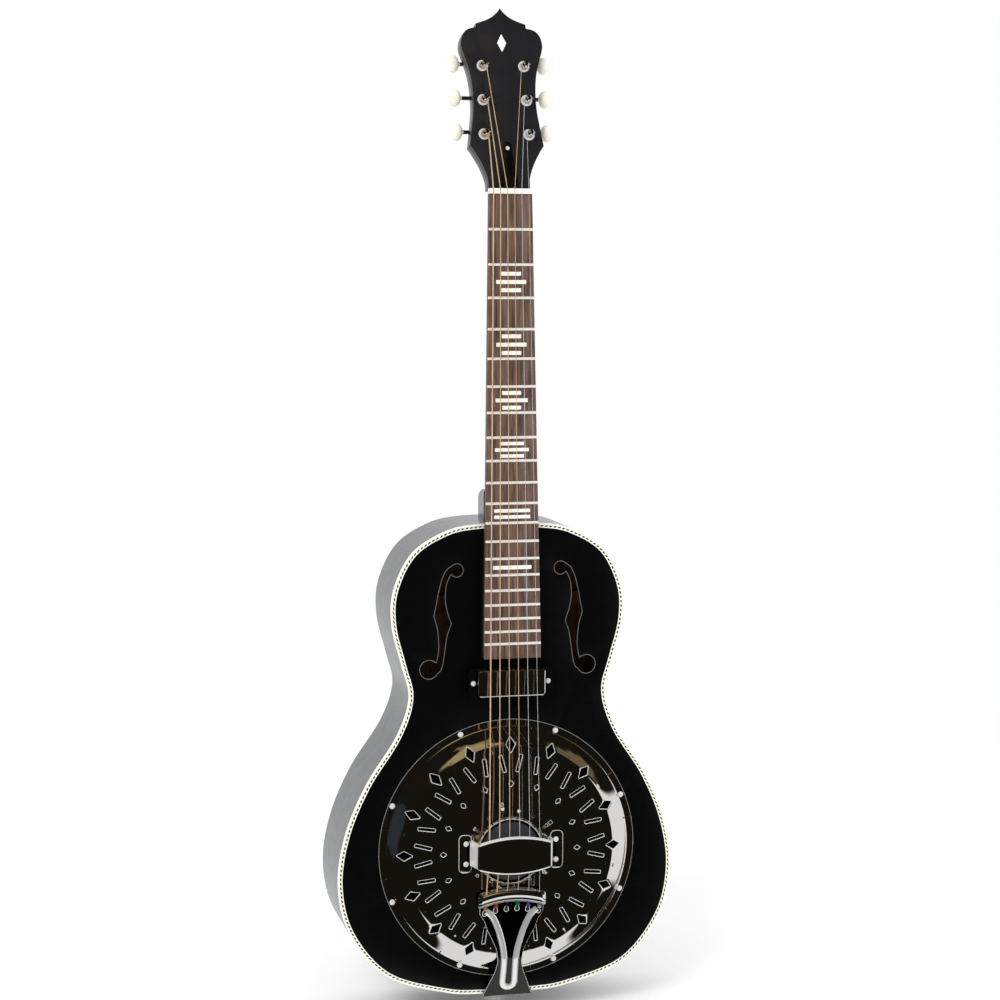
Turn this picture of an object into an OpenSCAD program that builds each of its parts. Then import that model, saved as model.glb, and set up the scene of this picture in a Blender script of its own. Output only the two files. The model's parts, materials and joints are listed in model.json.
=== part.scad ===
// Six-string resonator guitar with a round neck: hollow wooden body, spun metal cone under a
// domed perforated cover, bolt-on neck, open-gear tuners and a small pickup.
// Frame: x to the treble side, -y out of the front, +z towards the headstock.
// Origin: centreline, on the soundboard's front plane, level with the nut.

/* [Strings and scale] */
// Length from the nut to the saddle
scale_len = 645; // [640:1:650]
// String spread across the nut
nut_spread = 35.2; // [34:0.1:36.4]
// String spread across the saddle
saddle_spread = 51.5; // [50:0.1:53]
// String spread at the tailpiece
tail_spread = 55; // [54:0.1:56]
// String height over the board at the nut
nut_action = 1.9; // [1.8:0.1:2.2]
// String height over the board's plane at the saddle
saddle_action = 5.6; // [5:0.1:6]

/* [Neck] */
// Angle between the fretboard and the soundboard
neck_angle = 2.45; // [2.3:0.05:2.6]
// How far the board's face lies behind the soundboard's plane at the nut
board_drop = 2; // [1.8:0.1:2.2]
// Width of the board at the nut
nut_w = 43; // [42:0.5:44]
// Width of the board at its end
board_end_w = 57.5; // [56:0.5:59]
// Length of the board
board_len = 456.5; // [455:0.5:458]
// Thickness of the board
board_t = 6; // [5.5:0.5:6]
// Number of frets
fret_count = 20; // [18:1:20]

/* [Headstock] */
// Angle between the headstock's face and the soundboard
head_angle = 14; // [13.5:0.5:14.5]
// Depth of the headstock's face at the nut
head_y = 7; // [6.8:0.1:7.2]
// Thickness of the headstock with its facing
head_t = 15; // [15:0.5:15]
// Distance between tuner posts along the headstock
post_pitch = 34.5; // [34:0.5:35]
// Distance from the nut to the nearest posts
post_first = 57.5; // [57:0.5:58]

/* [Body] */
// Depth of the body at the neck
depth_neck = 80; // [78:1:84]
// Depth of the body at the tail
depth_tail = 100; // [98:1:104]
// Thickness of the soundboard and the back
plate_t = 3.5; // [3.5:0.5:3.5]
// Thickness of the sides
side_t = 2.5; // [2.5:0.5:2.5]

/* [Resonator] */
// Height of the resonator's centre along z
cone_z = -651; // [-652:1:-650]
// Outer radius of the cover
cover_r = 131.3; // [130:0.1:132]
// Height of the cover's crown over the soundboard
cover_h = 15; // [14.5:0.5:15.5]
// Radius of the cover's centre hole
cover_hole_r = 33; // [32.5:0.5:33.5]
// Number of pattern groups pressed through the cover
cover_groups = 16; // [16:1:16]

/* [Tuners] */
// Teeth on each post's gear
gear_teeth = 14; // [14:1:14]
// Pitch radius of each post's gear
gear_r = 5.1; // [5.1:0.1:5.1]
// Pitch radius of each worm
worm_r = 2.5; // [2.5:0.1:2.5]

/* [Hidden] */
$fn = 64;
running_gap = 0.05;
seat_gap = 0.02;

// Body outline: treble half from the neck joint to the tail, as points on a smooth curve
half_outline = [[0, -324], [30, -324.4], [62, -330], [97, -351], [116, -388], [117.6, -424],
    [107.5, -464], [100.5, -496], [113, -534], [143, -580.5], [164, -630], [171.4, -681],
    [159.5, -731], [122, -776], [62, -796.5], [25, -800.2], [0, -800.5]];
outline_steps = 6;
body_top = -324;
body_len = 476.5;
back_slope = atan((depth_tail - depth_neck) / body_len);
binding_w = 2;
binding_h = 4;
purfling_w = 2.4;
purfling_t = 1.4;
lining_w = 5.5;
lining_h = 10;
bolt_x = 12;
bolt_y = 36;
bolt_r = 3;
bolt_hole_r = 3.1;

// Sound holes: treble side, relative to the upper eye's centre
hole_eye = [52.8, -369.5];
upper_eye_r = 6.7;
lower_eye = [27.5, -98];
lower_eye_r = 9.5;
hole_outer_upper = [[5, 4.5], [10.5, 0.5], [15, -9], [18.8, -24], [20.6, -34], [23, -44.8]];
hole_outer_lower = [[23, -44.8], [19.4, -57.5], [18, -71], [18.2, -81], [20.6, -93.1]];
hole_inner_lower = [[18.9, -102], [15.6, -99], [13.3, -90.5], [11.1, -75], [9, -63.5], [5.2, -53]];
hole_inner_upper = [[5.2, -53], [9, -42], [11.2, -31], [11.3, -22], [9.9, -12.5], [5.5, -3]];

// Resonator
well_r = 130;
well_hole_r = 122.5;
ledge_y = 21;
ledge_r = 114;
cone_r = 121.5;
cone_apex_h = 6;
cone_t = 0.8;
cover_t = 1.2;
cover_screw_r = 127;
cover_screw_count = 8;
screw_r = 1.6;
screw_hole_r = 1.65;
crown_r = 62;
knee_r = 109;
knee_h = 12;
crease_r = 121.5;
flange_t = 1.2;
biscuit_r = 29.5;
biscuit_h = 8.5;
rest_h = 35.5;
rest_top_x = 37.5;
rest_top_t = 1.6;
rest_mid_z = 19.3;
rest_end_z = 13.4;
rest_foot_x = 53.4;
rest_wall_x = 41.8;
rest_foot_z = 15.8;
rest_screw_x = 46;
rest_screw_z = 10.2;
rest_foot_t = 1.5;
rest_wall_t = 1.6;
rest_wall_z = 13.1;

// Pickup
pickup_z = -481;
pickup_x = 34.3;
pickup_half_z = 13.6;
pickup_h = 17;
ring_h = 11;
ring_x = 42.5;
ring_screw_x = 38;

// Tailpiece
bar_top_z = -686;
bar_low_z = -704;
bar_x = 34.5;
bar_plan_r = 102;
bar_low_r = 101;
bar_low_centre = bar_top_z - bar_plan_r - 13;
bar_low_h = 19.2;
bar_high_h = 26;
tail_end_z = -801;
tail_end_h = 3.5;
tail_plate_t = 1.4;
tail_plate_h = 20.1;
rib_t = 1.2;
tail_strap_y = 60;
string_tail_h = 22.6;
ball_r = 2;
ball_len = 3.4;
keyhole_drop = 8.4;
endpin_y = 48;
endpin_r = 6;
endpin_hole_r = 6.2;
endpin_inner_z = -772;
plug_bore_r = 3.2;
contact_room_r = 4.4;

// Strings, bass to treble
string_d = [1.35, 1.07, 0.81, 0.61, 0.43, 0.33];
string_color = ["peru", "peru", "peru", "peru", "silver", "silver"];
saddle_s = scale_len + 2.5;
post_x = [-22.5, -21.8, -20.9, 20.9, 21.8, 22.5];
post_slot = [0, 1, 2, 2, 1, 0];
wire_sides = 18;
wind_n = 4.6;
post_waist_r = 2.6;
post_r = 3.2;
post_hole_r = 4.4;
post_top_n = 11;
bushing_r = 5.6;

// Tuner gears, behind the headstock
tuner_plate_t = 1.2;
gear_n = 19.8;
gear_t = 3;
worm_lift = gear_r + worm_r;
worm_pitch = 2 * PI * gear_r / gear_teeth;
worm_core_r = 1.75;
worm_crest_r = 3.1;
worm_turns = 3.5;
shaft_r = 2;
lug_gap = 7.6;
lug_t = 1.6;
button_x = 45.5;
button_len = 11.5;
button_w = 16;
button_t = 8.4;

// ---- curves -------------------------------------------------------------------------------

function mix(a, b, t) = a + (b - a) * t;
function catmull(a, b, c, d, t) =
    0.5 * (2 * b + (c - a) * t + (2 * a - 5 * b + 4 * c - d) * t * t
    + (3 * b - a - 3 * c + d) * t * t * t);
// Open smooth curve through the points p, n steps for each span
function curve(p, n) = let (k = len(p))
    concat([for (i = [0:k - 2]) for (j = [0:n - 1])
        catmull(p[max(i - 1, 0)], p[i], p[i + 1], p[min(i + 2, k - 1)], j / n)], [p[k - 1]]);
function flip(p) = [for (q = p) [-q[0], q[1]]];
function reversed(p) = [for (i = [len(p) - 1:-1:0]) p[i]];
function moved(p, v) = [for (q = p) q + v];

function body_half() = let (m = half_outline, k = len(m),
    p = concat([[-m[1][0], m[1][1]]], m, [[-m[k - 2][0], m[k - 2][1]]]))
    [for (i = [1:k - 1]) for (j = [0:outline_steps - 1])
        catmull(p[i - 1], p[i], p[i + 1], p[i + 2], j / outline_steps)];
function body_outline() = let (h = body_half(), n = len(h))
    concat(h, [half_outline[len(half_outline) - 1]], [for (i = [n - 1:-1:1]) [-h[i][0], h[i][1]]]);

// ---- frames -------------------------------------------------------------------------------

// Extrudes a shape drawn in x and z from depth y0 to depth y1
module slab(y0, y1) {
    translate([0, y1, 0]) rotate([90, 0, 0]) linear_extrude(y1 - y0) children();
}
// Turned about the resonator's axis, local z out of the front
module cone_frame() {
    translate([0, 0, cone_z]) rotate([90, 0, 0]) children();
}
// Places something at each of the cover's screws, local z out of the front
module around_cover() {
    cone_frame() for (k = [0:cover_screw_count - 1])
        rotate([0, 0, (k + 0.5) * 360 / cover_screw_count])
            translate([0, cover_screw_r, 0]) children();
}
// The fretboard's face: local z along the neck, -y out of the board
module neck_frame() {
    translate([0, board_drop, 0]) rotate([-neck_angle, 0, 0]) children();
}
// The headstock's face: local z along the headstock, -y out of the face
module head_frame() {
    translate([0, head_y, 0]) rotate([-head_angle, 0, 0]) children();
}
// The back's outer face
module back_frame() {
    translate([0, depth_neck, body_top]) rotate([back_slope, 0, 0]) children();
}
module back_layer(t0, t1) {
    intersection() {
        slab(depth_neck - 30, depth_tail + 10) children();
        back_frame() translate([-250, t0, -600]) cube([500, t1 - t0, 700]);
    }
}
function neck_pt(x, n, s) = [x, board_drop - n * cos(neck_angle) - s * sin(neck_angle),
    n * sin(neck_angle) - s * cos(neck_angle)];
function head_pt(x, n, v) = [x, head_y - n * cos(head_angle) + v * sin(head_angle),
    n * sin(head_angle) + v * cos(head_angle)];
// Round bar from a to b
module rod(a, b, r, fn = 24) {
    d = b - a;
    translate(a) rotate([0, acos(d[2] / norm(d)), atan2(d[1], d[0])])
        cylinder(h = norm(d), r = r, $fn = fn);
}
// Round tube swept along the points p, mitred at each bend
function unit(v) = v / norm(v);
function heading(p, k) = k == 0 ? unit(p[1] - p[0])
    : k == len(p) - 1 ? unit(p[k] - p[k - 1])
    : unit(unit(p[k + 1] - p[k]) + unit(p[k] - p[k - 1]));
function tube_ring(p, k, r, n) = let (d = heading(p, k), u = unit(cross(d, [1, 0, 0])), v = cross(d, u))
    [for (j = [0:n - 1]) p[k] + r * (cos(360 * j / n) * u + sin(360 * j / n) * v)];
module tube(p, r, n) {
    last = n * (len(p) - 1);
    polyhedron(points = [for (k = [0:len(p) - 1]) each tube_ring(p, k, r, n)],
        faces = concat([[for (j = [0:n - 1]) j]],
            [for (k = [0:len(p) - 2]) for (j = [0:n - 1]) let (l = (j + 1) % n, a = k * n, b = a + n)
                each [[a + j, b + j, b + l], [a + j, b + l, a + l]]],
            [[for (j = [n - 1:-1:0]) last + j]]), convexity = 6);
}
// Hole or pin along y, from depth y0 to y1, at (x, z)
module y_pin(x, z, y0, y1, r, fn = 32) {
    translate([x, y0, z]) rotate([-90, 0, 0]) cylinder(h = y1 - y0, r = r, $fn = fn);
}

// ---- body ---------------------------------------------------------------------------------

module outline(inset = 0) {
    if (inset == 0) polygon(body_outline());
    else offset(delta = -inset) polygon(body_outline());
}
module outline_ring(outer, inner) {
    difference() {
        outline(outer);
        outline(inner);
    }
}
module sound_hole() {
    u = hole_eye;
    translate(u) circle(r = upper_eye_r, $fn = 40);
    translate(u + lower_eye) circle(r = lower_eye_r, $fn = 48);
    polygon(moved(concat(curve(hole_outer_upper, 4), curve(hole_outer_lower, 4),
        [lower_eye], curve(hole_inner_lower, 4), curve(hole_inner_upper, 4), [[0, 0]]), u));
}
module sound_holes() {
    sound_hole();
    mirror([1, 0, 0]) sound_hole();
}
module soundboard() {
    color([0.05, 0.05, 0.055]) difference() {
        slab(0, plate_t) difference() {
            outline(binding_w);
            translate([0, cone_z]) circle(r = well_hole_r, $fn = 120);
            sound_holes();
        }
        slab(-1, purfling_t) outline_ring(binding_w - 1, binding_w + purfling_w);
        y_pin(0, pickup_z, -1, plate_t + 1, 5);
        around_cover() translate([0, 0, -plate_t - 1])
            cylinder(h = plate_t + 2, r = screw_hole_r, $fn = 24);
    }
}
module back() {
    color([0.05, 0.05, 0.055]) back_layer(-plate_t, 0) outline();
}
// One bent side, treble (half = 1) or bass (half = -1), meeting the other on the centreline
module side(half) {
    color([0.06, 0.06, 0.065]) difference() {
        intersection() {
            slab(plate_t, depth_tail + 10) intersection() {
                outline_ring(0, side_t);
                translate([half > 0 ? seat_gap / 2 : -200, -900]) square([200 - seat_gap / 2, 700]);
            }
            back_frame() translate([-250, -200, -600]) cube([500, 200 - plate_t, 700]);
        }
        slab(plate_t - 1, binding_h) outline_ring(-1, binding_w);
        for (x = [-bolt_x, bolt_x])
            rod([x, bolt_y, body_top - 8], [x, bolt_y, body_top + 3], bolt_hole_r);
        rod([0, endpin_y, -790], [0, endpin_y, -810], endpin_hole_r, 40);
    }
}
module binding() {
    color([0.93, 0.89, 0.76]) slab(0, binding_h) outline_ring(0, binding_w);
}
module purfling() {
    color([0.75, 0.73, 0.66]) slab(0, purfling_t) outline_ring(binding_w, binding_w + purfling_w);
}
module block_space() {
    translate([-36, 0, -377]) cube([72, 120, 60]);
    translate([-41, 0, -810]) cube([82, 120, 28]);
}
module linings() {
    color("burlywood") {
        difference() {
            slab(plate_t, plate_t + lining_h) outline_ring(side_t, side_t + lining_w);
            block_space();
            cone_frame() translate([0, 0, -60]) cylinder(h = 60, r = well_r + 0.3, $fn = 120);
        }
        difference() {
            back_layer(-plate_t - lining_h, -plate_t) outline_ring(side_t, side_t + lining_w);
            block_space();
        }
    }
}
module inner_block(x, z0, z1) {
    intersection() {
        slab(plate_t, depth_tail + 10) outline(side_t);
        back_frame() translate([-250, -200, -600]) cube([500, 200 - plate_t, 700]);
        translate([-x, 0, z0]) cube([2 * x, 120, z1 - z0]);
    }
}
module neck_block() {
    color("burlywood") difference() {
        inner_block(35, -376, -320);
        for (x = [-bolt_x, bolt_x]) rod([x, bolt_y, -380], [x, bolt_y, -320], bolt_hole_r);
    }
}
module tail_block() {
    color("burlywood") difference() {
        inner_block(40, -802, -783);
        rod([0, endpin_y, -780], [0, endpin_y, -810], endpin_hole_r, 40);
    }
}
module soundwell() {
    color("tan") cone_frame() rotate_extrude($fn = 120)
        polygon([[well_hole_r, -plate_t], [well_r, -plate_t], [well_r, -ledge_y - 7],
            [ledge_r, -ledge_y - 7], [ledge_r, -ledge_y], [well_hole_r, -ledge_y]]);
}
module braces() {
    color("burlywood") {
        translate([-42, plate_t, -390]) cube([84, 9, 8]);
        translate([-84, plate_t, -510]) cube([168, 9, 8]);
        for (z = [-90, -195, -325, -420]) intersection() {
            slab(depth_neck - 30, depth_tail + 10) outline(side_t + lining_w + 0.2);
            back_frame() translate([-250, -plate_t - 12, z]) cube([500, 12, 10]);
        }
    }
}

// ---- neck and headstock -------------------------------------------------------------------

head_half = [[21, 0], [20.8, 9], [21.8, 16], [26.2, 28], [33, 40.5], [37, 46.5]];
head_waist = [[37, 46.5], [34.4, 64], [32, 82], [31.6, 100], [33.4, 118], [37, 132],
    [40.4, 143], [41, 150], [38.9, 158], [33.5, 163.5], [25.5, 165.5]];
head_crown = [[25.5, 165.5], [25, 169.5], [12, 174.5], [4.5, 180], [0, 185.5]];
module head_outline() {
    h = concat(curve(head_half, 4), curve(head_waist, 4), [head_crown[1]],
        curve([for (i = [1:4]) head_crown[i]], 4));
    polygon(concat(h, reversed(flip(h))));
}
function board_half_w(s) = mix(nut_w, board_end_w, s / board_len) / 2;
heel_depth = 77;
// Half the heel's plan: half width at each depth
heel_half = [[25.5, 2], [23.5, 12], [21, 22], [18.5, 42], [16.5, 64], [12.5, 74.5], [9, 77]];
neck_end_s = 322.3;
// How far the nut's front face stands down the board from the scale's start
nut_front = 1.8;
nut_t = 5;
rod_y = 12.5;
rod_r = 2.8;
rod_thread_r = 2;
module board_taper(grow, s0, s1, y0, y1) {
    translate([0, y1, 0]) rotate([90, 0, 0]) linear_extrude(y1 - y0)
        polygon([[-board_half_w(s0) - grow, -s0], [board_half_w(s0) + grow, -s0],
            [board_half_w(s1) + grow, -s1], [-board_half_w(s1) - grow, -s1]]);
}
module neck_shaft() {
    neck_frame() difference() {
        translate([0, -3, -neck_end_s]) rotate([-0.35, 0, 0])
            cylinder(h = neck_end_s + 5, r1 = 27.2, r2 = 22.6, $fn = 96);
        translate([-40, -60, -400]) cube([80, 60 + board_t, 500]);
        translate([-40, -60, nut_t - nut_front + 0.1]) cube([80, 120, 40]);
    }
}
// Side view of the heel: deep at the body, sweeping up into the neck
module heel() {
    cap = 8;
    reach = 24;
    sweep = [for (a = [0:6:90])
        [heel_depth - 4 - 58.5 * (1 - cos(a)), body_top + cap + reach * sin(a)]];
    intersection() {
        translate([-30, 0, 0]) rotate([90, 0, 90]) linear_extrude(60)
            polygon(concat([[2, body_top], [heel_depth, body_top], [heel_depth, body_top + cap - 3]],
                sweep, [[2, body_top + cap + reach]]));
        translate([0, 0, body_top]) linear_extrude(80)
            polygon(concat(heel_half, reversed(flip(heel_half))));
    }
}
module neck() {
    color([0.06, 0.055, 0.055]) difference() {
        union() {
            intersection() {
                neck_shaft();
                translate([-50, -20, body_top]) cube([100, 100, 400]);
            }
            heel();
            head_frame() difference() {
                slab(2, head_t) head_outline();
                translate([-50, -5, -10]) cube([100, 40, 13.9]);
            }
        }
        neck_frame() {
            translate([-3, board_t - 1, -330]) cube([6, rod_y + rod_r + 0.2 - board_t + 1, 331]);
            translate([0, rod_y, 0]) cylinder(h = 26, r = 4.2, $fn = 32);
        }
        slab(0, depth_neck) outline();
        for (i = [0:5]) head_hole(i, post_hole_r);
        for (x = [-bolt_x, bolt_x])
            rod([x, bolt_y, body_top - 2], [x, bolt_y, body_top + 22], bolt_hole_r);
    }
}
function post_v(i) = post_first + post_slot[i] * post_pitch;
module head_hole(i, r) {
    head_frame() y_pin(post_x[i], post_v(i), -5, head_t + 5, r);
}
module headplate() {
    color([0.04, 0.04, 0.042]) difference() {
        head_frame() difference() {
            slab(0, 2) head_outline();
            translate([-50, -5, -10]) cube([100, 40, 14]);
            translate([-4.5, -5, 0]) cube([9, 10, 26]);
        }
        for (i = [0:5]) head_hole(i, post_hole_r);
    }
}
module truss_rod_cover() {
    color([0.03, 0.03, 0.03]) head_frame() difference() {
        slab(-1.6, 0) polygon([[-9, 4.3], [9, 4.3], [7.5, 20], [4.5, 38], [4, 46], [2.8, 49],
            [0, 50.2], [-2.8, 49], [-4, 46], [-4.5, 38], [-7.5, 20]]);
        y_pin(0, 43.5, -5, 5, 1.2);
    }
}
function fret_s(n) = scale_len * (1 - pow(2, -n / 12));
fret_slot_w = 0.6;
module fretboard() {
    color([0.36, 0.24, 0.19]) neck_frame() difference() {
        board_taper(0, nut_front, board_len, 0, board_t);
        for (n = [1:fret_count]) translate([-40, -1, -fret_s(n) - fret_slot_w / 2])
            cube([80, 3, fret_slot_w]);
        inlay_shapes(-1, 1.2);
    }
}
module frets() {
    color("silver") neck_frame() for (n = [1:fret_count]) {
        w = board_half_w(fret_s(n));
        translate([-w, 0, -fret_s(n)]) rotate([0, 90, 0]) {
            intersection() {
                translate([0, 0.35, 0]) cylinder(h = 2 * w, r = 1.35, $fn = 32);
                translate([-2, -2, 0]) cube([4, 2, 2 * w]);
            }
            translate([-fret_slot_w / 2, 0, 0]) cube([fret_slot_w, 2, 2 * w]);
        }
    }
}
// Bars of the inlay behind fret n: [half length, distance from the bay's middle]
bar_h = 3.8;
thin_bar_h = 3.4;
// How far the bars stand from the middle of their bay, away from the nut
bar_shift = 0.7;
function inlay_bars(n) = n == 15 ? [[19.4, 0]]
    : n == 12 ? [[18.2, 3.05], [18.2, -3.05]]
    : n == 9 ? [[12.2, 6.1], [17.1, 0], [12.2, -6.1]]
    : n == 7 ? [[9.5, 7.2], [16.2, 0], [9.5, -7.2]]
    : n == 5 ? [[9.8, 8.1], [15.2, 0], [9.8, -8.1]]
    : [[10, 8], [15, 0], [10, -8]];
module inlay_shapes(y0, y1) {
    for (n = [3, 5, 7, 9, 12, 15]) for (b = inlay_bars(n)) {
        mid = (fret_s(n) + fret_s(n - 1)) / 2;
        h = n == 9 || n == 12 ? thin_bar_h : bar_h;
        translate([-b[0], y0, -mid - bar_shift + b[1] - h / 2]) cube([2 * b[0], y1 - y0, h]);
    }
}
module fretboard_inlays() {
    color([0.93, 0.92, 0.88]) neck_frame() inlay_shapes(0, 1.2);
}
module fretboard_riser() {
    color([0.05, 0.05, 0.05]) intersection() {
        neck_frame() board_taper(-0.6, 330, board_len, board_t, board_t + 20);
        translate([-40, -40, -470]) cube([80, 40, 470 + body_top - 2.3]);
    }
}
module truss_rod() {
    color("gray") neck_frame() {
        translate([0, rod_y, -318]) cylinder(h = 324, r = rod_r, $fn = 32);
        translate([0, rod_y, 5.9]) cylinder(h = 10, r = rod_thread_r, $fn = 32);
    }
}
module truss_rod_nut() {
    color("goldenrod") neck_frame() translate([0, rod_y, 6.2]) difference() {
        cylinder(h = 10, r = 3.4, $fn = 6);
        translate([0, 0, -1]) cylinder(h = 12, r = rod_thread_r + running_gap, $fn = 32);
    }
}
module neck_bolts() {
    color("dimgray") for (x = [-bolt_x, bolt_x]) {
        rod([x, bolt_y, -376], [x, bolt_y, body_top + 20], bolt_r);
        rod([x, bolt_y, -382], [x, bolt_y, -376], 5.5);
    }
}
function nut_pt(i) = neck_pt(mix(-nut_spread, nut_spread, i / 5) / 2, nut_action, -1);
function saddle_pt(i) = neck_pt(mix(-saddle_spread, saddle_spread, i / 5) / 2, saddle_action, saddle_s);
// Lower edge of the tailpiece's crossbar at x: an arc
function bar_low(x) = bar_low_centre + sqrt(pow(bar_low_r, 2) - x * x);
function tail_pt(i) = let (x = mix(-tail_spread, tail_spread, i / 5) / 2)
    [x, -string_tail_h, bar_low(x) - 0.7];
function post_side(i) = i < 3 ? 1 : -1;
function post_pt(i) = head_pt(post_x[i] + post_side(i) * (post_waist_r + string_d[i] / 2 + 0.15),
    wind_n, post_v(i));
// Open slot round a string that runs from a to b, for len past a
module string_slot(a, b, r, len) {
    d = b - a;
    translate(a) rotate([0, atan2(d[0], d[2]), 0])
        rotate([-atan2(d[1], norm([d[0], d[2]])), 0, 0])
        translate([-r - 0.03, -10, -0.4]) cube([2 * r + 0.06, 10 + r + 0.03, len + 0.4]);
}
module nut() {
    color([0.95, 0.94, 0.9]) difference() {
        neck_frame() difference() {
            translate([-nut_w / 2, -nut_action - 0.2, -nut_front])
                cube([nut_w, nut_action + 0.2 + board_t, nut_t]);
            translate([-30, -nut_action - 0.2, 1]) rotate([-11, 0, 0])
                translate([0, -10, 0]) cube([60, 10, 10]);
        }
        for (i = [0:5]) {
            string_slot(nut_pt(i), post_pt(i), string_d[i] / 2, 6);
            string_slot(nut_pt(i), saddle_pt(i), string_d[i] / 2, 3);
        }
    }
}

// ---- resonator ----------------------------------------------------------------------------

module cone() {
    color([0.75, 0.76, 0.78]) cone_frame() rotate_extrude($fn = 120) {
        rim = -ledge_y;
        top = [[cone_r, rim + cone_t], [115, rim + cone_t], [112, rim + 4], [70, -7.5],
            [30, cone_apex_h], [0.01, cone_apex_h]];
        polygon(concat(top, [for (i = [len(top) - 1:-1:0]) top[i] - [0, cone_t]]));
    }
}
module biscuit() {
    color([0.16, 0.18, 0.22]) difference() {
        cone_frame() translate([0, 0, cone_apex_h]) cylinder(h = biscuit_h, r = biscuit_r, $fn = 96);
        translate([-28.05, -cone_apex_h - biscuit_h - 1, saddle_pt(0)[2] - 1.5]) cube([56.1, 5, 3]);
    }
}
module saddle() {
    h = -saddle_pt(0)[1] + 0.2;
    color([0.85, 0.75, 0.55]) difference() {
        translate([-28, -h, saddle_pt(0)[2] - 1.5]) cube([56, h - cone_apex_h - biscuit_h + 4, 3]);
        for (i = [0:5]) {
            string_slot(saddle_pt(i), nut_pt(i), string_d[i] / 2, 3);
            string_slot(saddle_pt(i), tail_pt(i), string_d[i] / 2, 3);
        }
    }
}
function cover_profile() = concat([[cover_hole_r, cover_h], [crown_r, cover_h]],
    [for (a = [0:10:90]) [knee_r + (crease_r - knee_r) * a / 90,
        flange_t + (knee_h - flange_t) * cos(a)]],
    [[cover_r, flange_t]]);
// One pattern group: kite, two slots and a small diamond, pointing at the centre
module pattern_group() {
    translate([0, 106.5]) polygon([[0, 8], [4.6, 1], [0, -7.5], [-4.6, 1]]);
    for (s = [-1, 1]) polygon([[s * 5, 81], [s * 7.6, 80], [s * 12, 96.3], [s * 9.4, 97.3]]);
    translate([0, 68.5]) polygon([[0, 3.2], [2.1, 0], [0, -3.2], [-2.1, 0]]);
}
module coverplate() {
    p = cover_profile();
    low = [for (q = p) [q[0], max(q[1] - cover_t, 0)]];
    color([0.78, 0.78, 0.8]) difference() {
        cone_frame() difference() {
            rotate_extrude($fn = 160) polygon(concat(p, reversed(low)));
            for (k = [0:cover_groups - 1]) rotate([0, 0, k * 360 / cover_groups])
                translate([0, 0, 2]) linear_extrude(20) pattern_group();
            for (x = [-1, 1]) for (y = [-1, 1]) translate([x * rest_screw_x, y * rest_screw_z, 5])
                cylinder(h = 20, r = 1.55, $fn = 24);
        }
        around_cover() translate([0, 0, -1]) cylinder(h = 5, r = screw_hole_r, $fn = 24);
    }
}
module palm_rest() {
    r = (rest_top_x * rest_top_x + pow(rest_mid_z - rest_end_z, 2)) / (2 * (rest_mid_z - rest_end_z));
    lower = cover_h + rest_foot_t;
    color([0.8, 0.8, 0.82]) cone_frame() {
        translate([0, 0, rest_h - rest_top_t]) linear_extrude(rest_top_t) intersection() {
            translate([0, rest_mid_z - r]) circle(r = r, $fn = 200);
            translate([0, r - rest_mid_z]) circle(r = r, $fn = 200);
            square([2 * rest_top_x, 60], center = true);
        }
        for (m = [0, 1]) mirror([m, 0, 0]) {
            translate([0, rest_wall_z, 0]) rotate([90, 0, 0]) linear_extrude(2 * rest_wall_z)
                polygon([[rest_top_x, rest_h], [rest_wall_x, lower], [rest_wall_x, cover_h],
                    [rest_wall_x - rest_wall_t, cover_h], [rest_wall_x - rest_wall_t, lower],
                    [rest_top_x - rest_wall_t, rest_h - rest_top_t / 2]]);
            difference() {
                translate([0, 0, cover_h]) linear_extrude(rest_foot_t) union() {
                    translate([rest_wall_x - rest_wall_t, -rest_foot_z])
                        square([rest_foot_x - 5 - rest_wall_x + rest_wall_t, 2 * rest_foot_z]);
                    translate([rest_foot_x - 6, -rest_foot_z + 5]) square([6, 2 * rest_foot_z - 10]);
                    for (s = [-1, 1]) translate([rest_foot_x - 5, s * (rest_foot_z - 5)])
                        circle(r = 5, $fn = 32);
                }
                for (s = [-1, 1]) translate([rest_screw_x, s * rest_screw_z, cover_h - 1])
                    cylinder(h = 5, r = 1.55, $fn = 24);
            }
        }
    }
}
// Cross-head screw with a plain shank, local z out of the surface
module screw(head_r, head_h, shank_r, len) {
    translate([0, 0, -len]) cylinder(h = len, r = shank_r, $fn = 24);
    difference() {
        cylinder(h = head_h, r1 = head_r, r2 = head_r * 0.6, $fn = 32);
        for (a = [0, 90]) rotate([0, 0, a]) translate([-head_r * 0.5, -0.25, head_h - 0.5])
            cube([head_r, 0.5, 1]);
    }
}
module screws() {
    color("silver") {
        around_cover() translate([0, 0, flange_t]) screw(2.9, 1.6, screw_r, flange_t + plate_t - 0.1);
        cone_frame() for (x = [-1, 1]) for (y = [-1, 1])
            translate([x * rest_screw_x, y * rest_screw_z, cover_h + rest_foot_t])
                screw(2.7, 1.5, 1.5, 6);
        for (x = [-1, 1]) translate([x * ring_screw_x, -ring_h, pickup_z]) rotate([90, 0, 0])
            screw(2.6, 1.5, 1.2, ring_h - 0.02);
        head_frame() {
            translate([0, -1.6, 43.5]) rotate([90, 0, 0]) screw(2, 1.1, 1.15, 1.58);
            for (m = [-1, 1]) for (v = plate_screw_v)
                translate([m * plate_x, head_t + tuner_plate_t, v]) rotate([-90, 0, 0])
                    screw(2, 1, 1.15, tuner_plate_t - 0.02);
        }
    }
}

// ---- pickup -------------------------------------------------------------------------------

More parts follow.
